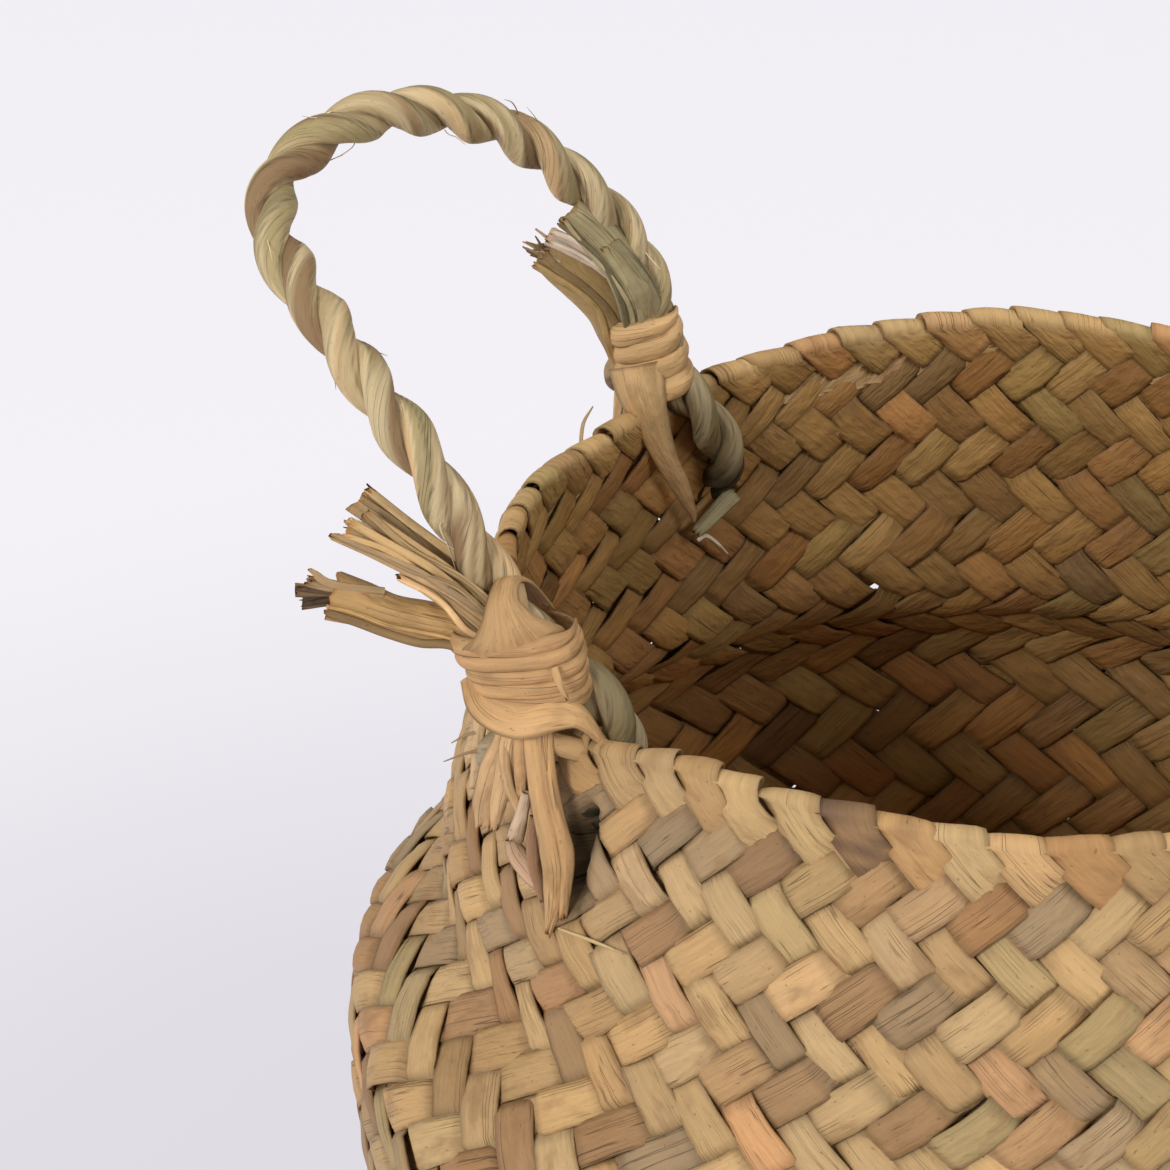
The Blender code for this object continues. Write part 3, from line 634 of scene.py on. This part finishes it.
def half_strip(fibre, number, quarter, fixed, rises, random):
    """One strip from the middle of the base up to the rim. One that rises folds over there and tucks in."""
    cells = int(round(FOLD_ROW - fixed))
    values = cell_values(np.arange(cells + 2), fixed, rises)
    float_number = np.concatenate([[0], np.cumsum(values[1:] != values[:-1])])
    floats = float_number[-1] + 3
    tilts = random.normal(0, TILT_SPREAD, floats)
    curls = random.uniform(0.0, MOST_CURL, floats)
    swells = random.normal(0, SWELL_SPREAD, floats)
    slips = random.normal(0, SLIP_SPREAD, floats)
    lines = np.array([ACROSS_SHARES])
    width_share = random.uniform(*WIDTH_SHARES)
    tau = np.linspace(0.0, FOLD_ROW - fixed, cells * STEPS_PER_CELL + 3)[:, None]

    def eased(table):
        """A float's own value at each run, turning into the next float's where the strip dives."""
        place = tau[:, 0]
        edge = np.clip(np.round(place).astype(int), 1, cells)
        share = smooth((place - edge) / (2 * DIVE_SHARE) + 0.5)
        before = table[float_number[edge - 1]]
        after = table[float_number[np.minimum(edge, len(values) - 1)]]
        return (before * (1 - share) + after * share)[:, None]

    skew = 1 - smooth((tau + fixed - FOLD_ROW + 1.3) / 1.3)
    jitter = 1 + WIDTH_WAVER_SHARE * wave(tau * 0.9 + number * 7.7, number * 1.3)
    sway = (eased(slips) + SWAY * wave(tau * 0.35 + number * 3.1, 50.5)) * smooth(tau / 2)
    place_radius = np.interp(tau + fixed, LINE_ROWS, LINE[:, 0])
    closer = smooth((CLOSER_RADIUS - place_radius) / CLOSER_REACH) * (tau + fixed > CLOSER_ROW)
    spread = lines * width_share * (CLOSE_SHARE + CLOSER_SHARE * closer) * jitter / 2
    across_fixed = np.maximum(fixed + spread + sway, 0.02)
    row = tau + fixed + skew * (across_fixed - fixed)
    run = row - across_fixed
    base_angle = QUARTER_TURN * across_fixed / np.maximum(row, 0.05)
    wall_angle = QUARTER_TURN / 2 + ROW_TURN * (across_fixed - run)
    angle = np.where(row <= BASE_ROWS, base_angle, wall_angle)
    if rises:
        angle = QUARTER_TURN - angle
    angle = angle + quarter * QUARTER_TURN
    offset = strip_offset(run, values)
    side = np.sign(offset)
    offset = offset + side * eased(swells) - side * eased(curls) * lines ** 2 + eased(tilts) * lines
    offset = offset + 0.16 * wave(lines * 2.3 + number * 9.1, tau * 0.8)
    offset = offset + 0.22 * wave(lines * 0.9 + number * 3.3, tau * 1.3 + 31)
    half = STRIP_THICKNESS / 2 * (1 - 0.4 * np.abs(lines) ** 3)
    top = wall_place(angle, row, offset + half)
    low = wall_place(angle, row, offset - half)
    if rises:
        top_more, low_more, run_more = folded_end(angle[-1:], offset[-1:], half, lines, random)
        top = np.concatenate([top, top_more])
        low = np.concatenate([low, low_more])
        tau = np.concatenate([tau, tau[-1] + run_more])
        more = ((0, len(run_more)), (0, 0))
        angle = np.pad(angle, more, "edge")
        row = np.pad(row, more, "edge")
    # Painted shade along the strip's edges, standing in for the shade in the gaps between strips
    outer = strip_tint(number, tau, float_number, random) * (1 - STRIP_EDGE_SHADE * np.abs(lines) ** 5)[..., None]
    # Painted shade: the tint darkens in and round each slot, standing in for the recess's shadow
    outer = outer * (1 - painted_slot_shade(angle, row))[..., None]
    # Painted shade: the inside faces are darker and warmer, standing in for the shade and warm bounced light
    # inside the basket
    inner = outer * np.array(INSIDE_PAINTED_SHADE)
    if rises:
        turned = smooth((tau + fixed - FOLD_ROW + 0.5) / 0.7)[..., None]
        # Painted light: the faces turned over the rim are brightened as if strongly lit
        inner = inner * (1 - turned) + outer * np.array(RIM_PAINTED_LIGHT) * turned
        if abs(turn_from(angle[-1].mean(), STAIN_ANGLE)) < ROW_TURN:
            patchy = turned * smooth(0.62 + 0.55 * wave(3.0 - lines * 1.3, tau * 2.6))[..., None]
            inner = inner * (1 - patchy + patchy * np.array(STAIN_SHADE))
    places = lines[0] * STRIP_WIDTH / 2 * width_share + number * 31.7
    fibre.add_strip(top, low, places, 4.0, tau * STRIP_WIDTH + number * 57.3, (outer, inner))


def folded_end(angle, offset, half, lines, random):
    """The turn over the rim and the tail that tucks under the floats outside."""
    bends = np.linspace(0.0, math.pi, FOLD_STEPS + 1)[1:, None]
    middle = angle.mean()
    hump = np.sin(bends)
    size = random.uniform(*FOLD_SIZES)
    lean = random.uniform(*FOLD_LEANS)
    reach = FOLD_RADIUS * (1 + (size - 1) * hump) - lean * lines * hump
    reach = reach + FOLD_CROWN * (1 - lines ** 2) * hump
    fade = (1 + np.cos(bends)) / 2
    shift = (offset + RELIEF) * fade
    angles = middle + (angle - middle) * (1 + FOLD_FLARE_SHARE * (1 - fade))
    angles = angles + ROW_TURN * random.uniform(0.1, 0.4) * bends / math.pi
    top = fold_place(angles, bends, shift + half, reach)
    low = fold_place(angles, bends, shift - half, reach)
    down = np.linspace(0.0, TUCK_ROWS, TUCK_STEPS + 1)[1:, None]
    row = FOLD_ROW - down * (1 + 0.04 * lines)
    taper = 1 - TAIL_TAPER_SHARE * smooth(down / TUCK_ROWS)
    tail_angle = middle + (angles[-1:] - middle) * taper + ROW_TURN * down * random.uniform(0.95, 1.08)
    passed = down + (angles[-1:] - angles[-1].mean()) / (2 * ROW_TURN)
    start = 2 * FOLD_RADIUS - RELIEF
    lay = start + (TUCK_DEPTH - start) * smooth((passed - TUCK_START_ROW) / TUCK_DIVE_ROWS)
    lay = lay + random.uniform(0.2, 0.8) * np.sin(math.pi * np.clip(passed / 1.3, 0, 1))
    still_proud = 1 - smooth((passed - 1.0) / 0.5)
    lay = lay - (0.25 * lines ** 2 + 0.75 * lean * lines) * still_proud
    top = np.concatenate([top, wall_place(tail_angle, row, lay - half)])
    low = np.concatenate([low, wall_place(tail_angle, row, lay + half)])
    arc = bends * FOLD_RADIUS / STRIP_WIDTH
    return top, low, np.concatenate([arc, arc[-1] + down])


def strip_tint(number, tau, float_number, random):
    """Colour along a strip: its leaf's own colour, which drifts, each float a little its own, and painted
    shade where it dives.
    """
    palette = pick_tints(random, 3, SEAGRASS_COLOURS)
    floats = float_number[-1] + 3
    bright = random.normal(1.0, BRIGHT_SPREAD, floats)
    hue = random.normal(0.0, HUE_SPREAD, floats)
    other = pick_tints(random, floats, SEAGRASS_COLOURS)
    swap = (random.uniform(0, 1, floats) < OTHER_LEAF_SHARE) * random.uniform(0.3, 0.9, floats)
    place = tau[:, 0]
    last = len(float_number) - 1
    edge = np.clip(np.round(place).astype(int), 1, last)
    share = smooth((place - edge) / 0.3 + 0.5)[:, None]
    before = float_number[edge - 1]
    after = float_number[edge]
    blend = smooth(0.5 + 1.2 * wave(tau * 0.11 + number * 4.7, 7.5))
    base = palette[0] * (1 - blend) + palette[1] * blend

    def float_tint(index):
        own = base * (1 - swap[index])[:, None] + other[index] * swap[index][:, None]
        warm = np.stack([1 + hue[index], np.ones(len(index)), 1 - 1.6 * hue[index]], axis=1)
        return own * warm * bright[index][:, None]

    tint = float_tint(before) * (1 - share) + float_tint(after) * share
    # Painted shade where the strip dives under the crossing strips
    dives = np.where(before != after, np.exp(-((place - edge) / 0.16) ** 2), 0.0)
    tint = tint * (1 - DIVE_PAINTED_SHADE * dives)[:, None]
    return (tint * (1 + 0.07 * wave(tau * 0.7 + number * 1.9, 90.5)))[:, None, :]


def weave_body():
    """The plaited body: the strips that start in each quarter of the base, both ways."""
    fibre = Fibre()
    random = np.random.default_rng(BODY_SEED)
    number = 0
    for quarter in range(4):
        for step in range(BASE_ROWS):
            for rises in (True, False):
                half_strip(fibre, number, quarter, step + 0.5, rises, random)
                number += 1
    return fibre.make("plaited_body", seagrass_finish("seagrass"), "seagrass_weave")


def run_lengths(points):
    """Length along a path up to each of its points."""
    steps = np.linalg.norm(np.diff(points[:, :3], axis=0), axis=1)
    return np.concatenate([[0.0], np.cumsum(steps)])


def curve_through(knots, spacing):
    """Evenly spaced points on a smooth curve through the knots, whose further columns go along."""
    knots = np.asarray(knots, float)
    padded = np.concatenate([[2 * knots[0] - knots[1]], knots, [2 * knots[-1] - knots[-2]]])
    share = np.linspace(0, 1, CURVE_STEPS, endpoint=False)[:, None]
    points = np.concatenate([splines(padded, share), knots[-1:]])
    run = run_lengths(points)
    even = np.linspace(0.0, run[-1], max(int(run[-1] / spacing), 4) + 1)
    return np.stack([np.interp(even, run, column) for column in points.T], axis=1)


def path_frames(points, first_side):
    """Tangent, side and third way along a path, without extra twist."""
    tangent = unit(np.gradient(points, axis=0))
    side = np.zeros_like(points)
    current = np.asarray(first_side, float)
    for index, way in enumerate(tangent):
        current = current - way * np.dot(current, way)
        current = current / np.linalg.norm(current)
        side[index] = current
    return tangent, side, np.cross(tangent, side)


def lay_rope(fibre, knots, random, start_turn):
    """A two-ply rope through the knots: right-hand lay, each ply a bundle of folded leaves."""
    points = curve_through(knots, ROPE_STEP)
    tangent, side, third = path_frames(points, (0.0, 1.0, 0.2))
    run = run_lengths(points)

    def waver(wave_length, row=0.0):
        """Slow random values along the rope."""
        return wave(run / wave_length, row + random.uniform(0, 50))

    lay = ROPE_LAY * (1 + 0.10 * waver(40))
    turn = start_turn + np.concatenate([[0.0], np.cumsum(np.diff(run) * math.tau / lay[1:])])
    around = np.linspace(math.pi, 3 * math.pi, PLY_SIDES, endpoint=False)
    for ply in range(2):
        phase = (turn + math.pi * ply)[:, None]
        away = side * np.cos(phase) + third * np.sin(phase)
        swell = 1 + 0.07 * waver(11, 10 * ply)
        centre = points + away * (PLY_OFFSET * (1 + 0.08 * waver(15)))[:, None]
        over = unit(np.cross(np.gradient(centre, axis=0), away))
        lines = around[None, :] + LEAF_TWIST * phase
        edges = np.zeros((len(points), PLY_SIDES))
        shade = np.ones((len(points), PLY_SIDES))
        for leaf in range(LEAVES_IN_PLY):
            place = leaf * math.tau / LEAVES_IN_PLY + random.uniform(-0.5, 0.5)
            place = place + 0.8 * waver(30, leaf * 9)[:, None]
            apart = turn_from(lines, place)
            size = LEAF_EDGE * (0.6 + 0.6 * waver(13, leaf * 7))[:, None]
            edges += size * np.exp(-np.abs(apart) / 0.5) * np.tanh(apart / 0.2)
            own_shade = 0.20 * wave(leaf * 3.7 + 11 * ply, run / 38)[:, None]
            shade += own_shade * np.exp(-((apart - 1.0) / 0.8) ** 2)
            # Partly the leaf's browner edge, partly painted shade under the step of the leaf above
            shade -= LEAF_STEP_BROWN_AND_SHADE * np.exp(-((apart + 0.12) / 0.10) ** 2)
        ring_x = 1.3 * np.cos(lines) + 70 * ply
        ring_y = 1.3 * np.sin(lines)
        ridges = RIDGE * wave(ring_x + run[:, None] / 19, ring_y + 33)
        radius = PLY_RADIUS * swell[:, None] + edges + ridges
        ways = away[:, None, :] * np.cos(around)[:, None] + over[:, None, :] * np.sin(around)[:, None]
        rings = centre[:, None, :] + radius[..., None] * ways
        across = np.broadcast_to(around * PLY_RADIUS + 47.0 * ply + random.uniform(0, 900), rings.shape[:2])
        along = np.broadcast_to(run[:, None] + random.uniform(0, 900), rings.shape[:2])
        colours = pick_tints(random, 6, ROPE_COLOURS)
        tint = colours[0] + np.zeros(rings.shape)
        for number in range(1, 6):
            place = mottle(0.8 * ring_x + number * 17 + run[:, None] / 34, 0.8 * ring_y + number * 5)
            cover = smooth((place - 0.10) / 0.25)[..., None]
            tint = tint * (1 - cover) + colours[number] * cover
        # Painted shade: each ply darkens on the side that turns towards the other ply
        groove_shade = 1 - GROOVE_PAINTED_SHADE * smooth((-np.cos(around) - 0.25) / 0.5)
        darker_low = 1 - LOWER_ROPE_DARK * smooth((LOWER_ROPE_HEIGHT - points[:, 2]) / LOWER_ROPE_REACH)
        # Painted shade: the rope darkens where it goes into the slot in the wall
        darker_low = darker_low * (1 - ROPE_SLOT_SHADE * smooth((SLOT_HEIGHT - points[:, 2]) / SLOT_REACH))
        tint = tint * (shade * groove_shade[None, :] * darker_low[:, None])[..., None]
        seam = np.full(len(points), across[0, 0] + math.tau * PLY_RADIUS)
        fibre.add(rings, across, along, tint, seam)
    return points, tangent


def lay_leaf(fibre, knots, facing, roll, thickness, ragged, colour, random):
    """A leaf strip through (x, y, z, width) knots. Roll bends its edges back from the way it faces."""
    path = curve_through(knots, LEAF_STEP)
    points = path[:, :3]
    _, normal, across_way = path_frames(points, facing)
    lay_sheet(fibre, points, normal, across_way, path[:, 3], roll, thickness, ragged, colour, random)


def lay_sheet(fibre, points, normal, across_way, width, roll, thickness, ragged, colour, random):
    """A leaf along points with its frame and width at each of them."""
    tangent = unit(np.gradient(points, axis=0))
    run = run_lengths(points)
    seed = random.uniform(0, 900)
    lines = np.linspace(-1.0, 1.0, LEAF_LINES)[None, :]
    half = (width / 2 * (1 + 0.06 * wave(run / 7, seed)))[:, None]
    bend = (roll * (1 + 0.15 * wave(run / 15, seed + 9)))[:, None] + 0.01
    turn = bend * lines
    ways = normal[:, None, :] * np.cos(turn)[..., None] + across_way[:, None, :] * np.sin(turn)[..., None]
    reach = half / bend
    place = points[:, None, :] + ways * reach[..., None] - normal[:, None, :] * reach[..., None]
    ridge = RIDGE * wave(lines * half * 0.8 + seed, run[:, None] / 16) * np.minimum(half / 2, 1)
    ridge = ridge + CREASE * wave(lines * 0.9 + seed, run[:, None] / 6) * np.minimum(half / 3, 1)
    depth = np.minimum(thickness, 1.4 * half) / 2 * (1 - 0.6 * np.abs(lines) ** 3)
    push = ragged * random.uniform(-1.0, 0.6, LEAF_LINES) * smooth(1 - (run[-1] - run) / 4.0)[:, None]
    place = place + tangent[:, None, :] * push[..., None]
    top = place + ways * (ridge + depth)[..., None]
    low = place + ways * (ridge - depth)[..., None]
    bright = 1.06 + 0.12 * wave(run / 9, seed + 5)[:, None]
    bright = bright + 0.18 * wave(lines * 2.5 + seed, run[:, None] / 20)
    # Partly the leaf's browner edge, partly painted shade in the gaps beside it
    bright = bright * (1 - LEAF_SIDE_BROWN_AND_SHADE * np.abs(lines) ** 8)
    tint = linear(colour) * bright[..., None]
    if ragged:
        tint[-1] = tint[-1] * CUT_SHADE
    places = lines[0] * width.max() / 2 + seed
    fibre.add_strip(top, low, places, 3.0, run[:, None] + seed, (tint, tint))


def wind_strip(fibre, rings, depth, width, shape, colour, random):
    """One strip wound up round both rope legs, through the rings of the table."""
    table = np.asarray(rings, float)
    turns = np.linspace(WRAP_START_TURN, len(table) + WRAP_END_TURN, len(table) * WRAP_STEPS)
    angle = math.tau * turns - math.pi / 2
    number = np.arange(len(table))
    middle, height, half_width, half_depth, rise = (np.interp(turns, number, column) for column in table.T)
    ends = np.clip(turns, 0, len(table) - 1)
    height = height + (turns - ends) * WRAP_RISE
    cosine, sine = (np.sign(value) * np.abs(value) ** shape for value in (np.cos(angle), np.sin(angle)))
    wobble = WRAP_WOBBLE * wave(turns * 3.1, random.uniform(0, 90))
    points = np.stack([
        middle + (half_width + wobble) * cosine,
        depth + (half_depth + wobble) * sine,
        height + rise / 2 * cosine + 0.4 * wave(turns * 2.3, random.uniform(0, 90)),
    ], axis=1)
    tangent = unit(np.gradient(points, axis=0))
    upward = np.full(len(angle), 1.2)
    outward = np.stack([np.cos(angle) * half_depth, np.sin(angle) * half_width, upward], axis=1)
    normal = unit(outward - tangent * np.sum(outward * tangent, axis=1, keepdims=True))
    across_way = np.cross(tangent, normal)
    widths = width * (1 + 0.12 * wave(turns * 1.7, random.uniform(0, 90)))
    widths = widths * (0.35 + 0.65 * smooth((turns - turns[0]) / 0.25) * smooth((turns[-1] - turns) / 0.25))
    lay_sheet(fibre, points, normal, across_way, widths, WRAP_ROLL, STRIP_THICKNESS, 0.0, colour, random)


def stray_fibres(fibre, points, tangent, random):
    """Thin fibres that have come loose from a rope."""
    for _ in range(STRAY_FIBRES):
        index = random.integers(20, len(points) - 20)
        way = unit(random.normal(0, 1, 3))
        way = unit(way - tangent[index] * np.dot(way, tangent[index]))
        ahead = tangent[index] * random.choice((-1.0, 1.0))
        start = points[index] + way * (PLY_RADIUS + PLY_OFFSET * 0.7)
        length = random.uniform(*STRAY_LENGTHS)
        middle = start + ahead * length * 0.5 + way * random.uniform(0.3, 1.2)
        end = start + ahead * length + way * random.uniform(0.5, 3.0)
        size = random.uniform(*STRAY_WIDTHS)
        knots = [(*(start - way - ahead), size), (*start, size), (*middle, size), (*end, size * 0.3)]
        colour = np.array(STRAY_COLOUR) * random.uniform(0.85, 1.15)
        lay_leaf(fibre, knots, way, 0.3, 0.4, 0.1, colour, random)


def add_strands(fibre, knots, facing, colour, random):
    """Narrow strands that have split from a leaf and lie along its face."""
    knots = np.array(knots, float)
    _, normal, across_way = path_frames(knots[:, :3], facing)
    for _ in range(STRANDS_BESIDE):
        reach = np.minimum(knots[:, 3], STRAND_REACH) * random.uniform(-0.42, 0.42)
        reach = reach + random.normal(0, 0.5, len(knots))
        strand = knots.copy()
        strand[:, :3] += across_way * reach[:, None] + normal * random.uniform(0.4, 1.2)
        strand[:, 3] = random.uniform(*STRAND_WIDTHS)
        shade = np.array(colour) * random.choice(STRAND_SHADES)
        lay_leaf(fibre, strand, facing, 0.5, 0.7, 1.4, np.minimum(shade, 235), random)


def build_handle(side, turn_over, seed):
    """All rope and strip pieces of one handle, made as a left one and turned for the right."""
    random = np.random.default_rng(seed)
    groups = {name: Fibre() for name in (ROPE, ENDS, WRAPS, TIES)}
    points, tangent = lay_rope(groups[ROPE], STANDING_ROPE, random, ROPE_START_TURN)
    stray_fibres(groups[ROPE], points, tangent, random)
    lay_rope(groups[ENDS], FRONT_OUTER_LEG, random, 1.0)
    lay_rope(groups[ENDS], BACK_OUTER_LEG, random, 2.0)
    for wrap in (FRONT_WRAP, BACK_WRAP):
        wind_strip(groups[WRAPS], *wrap, random)
    for group, roll, thickness, colour, ragged, facing, knots in LEAVES:
        lay_leaf(groups[group], knots, facing, roll, thickness, ragged, colour, random)
        if group == ENDS:
            add_strands(groups[group], knots, facing, colour, random)
    root, way, count, length = FRAY
    for _ in range(count):
        turned = unit(np.array(way) + random.normal(0, 0.28, 3))
        start = np.array(root) + random.normal(0, FRAY_SPREAD, 3)
        end = start + turned * length * random.uniform(0.5, 1.3)
        size = random.uniform(*FRAY_WIDTHS)
        knots = [(*(start - turned * 4), size), (*start, size), (*end, size * 0.5)]
        colour = np.array(FRAY_COLOUR) * random.uniform(0.7, 1.15)
        lay_leaf(groups[ENDS], knots, FRONT, 0.4, 0.5, 0.3, colour, random)
    finish = seagrass_finish("palm_leaf")
    for name, fibre in groups.items():
        if turn_over:
            fibre.points = [points * np.array((-1.0, -1.0, 1.0)) for points in fibre.points]
        slot = "rope" if name in (ROPE, ENDS) else "palm_strip"
        piece = fibre.make(f"{side}_{name}", finish, slot)
        groups[name] = piece
        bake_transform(piece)
    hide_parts(f"{side}_handle_rope", f"{side}_long_rope_turn", f"{side}_short_rope_turn")
    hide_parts(f"{side}_long_rope_end", f"{side}_short_rope_end", f"{side}_split_ply")
    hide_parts(f"{side}_long_binding", f"{side}_short_binding")
    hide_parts(f"{side}_outer_tie", f"{side}_tie_strands", f"{side}_inner_tie")


def new_finish(name):
    """A material, its shader, and functions that add a node and link two sockets."""
    made = bpy.data.materials.new(name)
    made.use_nodes = True
    tree = made.node_tree

    def node(kind, inputs, **values):
        """The first output of a new node. Of its inputs, a number or colour is set and a socket is linked."""
        added = tree.nodes.new("ShaderNode" + kind)
        for key, value in values.items():
            setattr(added, key, value)
        for key, value in inputs.items():
            if isinstance(value, bpy.types.NodeSocket):
                tree.links.new(value, added.inputs[key])
            else:
                added.inputs[key].default_value = value
        return next(socket for socket in added.outputs if socket.enabled)

    return made, tree.nodes["Principled BSDF"], node, tree.links.new


def opaque(colour):
    """A screen colour as a socket takes it."""
    return (*linear(colour), 1.0)


def seagrass_finish(name):
    """Dry flattened leaf: its tint with long fibres, creases darkened with painted shade, specks and a soft
    sheen.
    """
    found = bpy.data.materials.get(name)
    if found:
        return found
    made, shader, node, link = new_finish(name)
    tint = node("Attribute", {}, attribute_name="tint")
    grain = node("UVMap", {}, uv_map="grain")

    def streaks(across, along, detail):
        place = node("Mapping", {"Vector": grain, "Scale": (across, along, 1.0)})
        inputs = {"Vector": place, "Scale": 1.0, "Detail": detail, "Roughness": 0.55}
        return node("TexNoise", inputs, noise_dimensions="2D")

    def remap(value, low, high, new_low, new_high):
        inputs = {"Value": value, "From Min": low, "From Max": high, "To Min": new_low, "To Max": new_high}
        return node("MapRange", inputs, interpolation_type="SMOOTHSTEP")

    def maths(kind, first, second):
        return node("Math", {0: first, 1: second}, operation=kind)

    def tinted(colour, added, share):
        return node("Mix", {"A": colour, "B": opaque(added), "Factor": share}, data_type="RGBA")

    fine = streaks(3.4, 0.14, 2.0)
    vein = streaks(0.9, 0.05, 2.0)
    crumple = streaks(0.30, 0.16, 2.0)
    patch = streaks(0.15, 0.06, 3.0)
    crack = streaks(0.75, 0.012, 0.0)
    rare = streaks(0.16, 0.05, 1.0)
    speck = streaks(1.1, 0.45, 2.0)
    crease = remap(maths("ABSOLUTE", maths("SUBTRACT", crack, 0.5), 0.0), 0.0, 0.022, 1.0, 0.0)
    crease = maths("MULTIPLY", crease, remap(rare, 0.48, 0.58, 0.0, 1.0))
    bright = maths("MULTIPLY", remap(fine, 0.3, 0.7, 0.96, 1.04), remap(vein, 0.3, 0.7, 0.94, 1.06))
    # Painted shade: the crease lines darken the leaf's colour
    bright = maths("MULTIPLY", bright, remap(crease, 0.0, 1.0, 1.0, 0.55))
    leaf = node("VectorMath", {0: tint, "Scale": bright}, operation="SCALE")
    warm = tinted(leaf, WARM_COLOUR, remap(patch, 0.54, 0.76, 0.0, 0.5))
    link(tinted(warm, DIRT_COLOUR, remap(speck, 0.70, 0.80, 0.0, 0.5)), shader.inputs["Base Color"])
    height = maths("ADD", maths("MULTIPLY", fine, 0.16), maths("MULTIPLY", vein, 0.55))
    height = maths("ADD", height, maths("MULTIPLY", crumple, 2.2))
    height = maths("SUBTRACT", height, maths("MULTIPLY", crease, 0.6))
    bump = node("Bump", {"Strength": 0.8, "Distance": BUMP_DEPTH * MM, "Height": height})
    link(bump, shader.inputs["Normal"])
    link(remap(vein, 0.3, 0.7, 0.50, 0.70), shader.inputs["Roughness"])
    shader.inputs["Specular IOR Level"].default_value = 0.28
    return made


def build_stage():
    """A pale floor that keeps the shadow and shows the backdrop's colour to the camera, with a painted shade
    round the basket.
    """
    reach = FLOOR_REACH_M
    mesh = bpy.data.meshes.new("studio_floor")
    corners = [(-reach, -reach, 0), (reach, -reach, 0), (reach, reach, 0), (-reach, reach, 0)]
    mesh.from_pydata(corners, [], [(0, 1, 2, 3)])
    finish, shader, node, link = new_finish("pale_floor")
    shader.inputs["Base Color"].default_value = opaque(FLOOR_COLOUR)
    shader.inputs["Roughness"].default_value = 0.9
    shader.inputs["Specular IOR Level"].default_value = 0.1
    # Painted shade: the floor the camera sees darkens towards the basket
    away = node("VectorMath", {0: node("NewGeometry", {})}, operation="LENGTH")
    limits = {"From Min": FLOOR_NEAR_M, "From Max": FLOOR_FAR_M, "Value": away}
    fade = node("MapRange", limits, interpolation_type="SMOOTHSTEP")
    colours = {"A": opaque(FLOOR_PAINTED_SHADE_COLOUR), "B": opaque(FLOOR_SEEN_COLOUR), "Factor": fade}
    seen = node("Emission", {"Color": node("Mix", colours, data_type="RGBA")})
    rays = finish.node_tree.nodes.new("ShaderNodeLightPath").outputs
    shown = rays["Is Camera Ray"]
    for kind in ("Is Glossy Ray", "Is Transmission Ray"):
        shown = node("Math", {0: shown, 1: rays[kind]}, operation="MAXIMUM")
    share = node("Math", {0: shown, 1: FLOOR_SEEN_SHARE}, operation="MULTIPLY", use_clamp=True)
    floor_look = node("MixShader", {"Fac": share, 1: shader.outputs["BSDF"], 2: seen})
    link(floor_look, finish.node_tree.nodes["Material Output"].inputs["Surface"])
    mesh.materials.append(finish)
    floor = bpy.data.objects.new("studio_floor", mesh)
    bpy.context.scene.collection.objects.link(floor)


def build_view():
    """The lamps, the world and the camera."""
    scene = bpy.context.scene
    for name, place, size, power in LAMPS:
        light = bpy.data.lights.new(name, "AREA")
        light.shape = "DISK"
        light.size = size
        light.energy = power
        lamp = bpy.data.objects.new(name, light)
        scene.collection.objects.link(lamp)
        lamp.location = place
        lamp.rotation_euler = (Vector(LAMP_AIM) - Vector(place)).to_track_quat("-Z", "Y").to_euler()
    world = bpy.data.worlds.new("studio")
    world.use_nodes = True
    sky = world.node_tree.nodes["Background"].inputs
    sky["Color"].default_value = (*WORLD_COLOUR, 1.0)
    sky["Strength"].default_value = WORLD_STRENGTH
    scene.world = world
    scene.view_settings.view_transform = "Standard"
    data = bpy.data.cameras.new("camera")
    data.lens = LENS_MM
    data.sensor_width = SENSOR_MM
    camera = bpy.data.objects.new("camera", data)
    scene.collection.objects.link(camera)
    camera.location = CAMERA_PLACE_M
    camera.rotation_euler = CAMERA_TURN
    scene.camera = camera


def main():
    build_view()
    build_stage()
    body = weave_body()
    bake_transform(body)
    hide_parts("woven_belly", "woven_collar", "folded_rim")
    build_handle("left", False, LEFT_SEED)
    build_handle("right", True, RIGHT_SEED)


main()
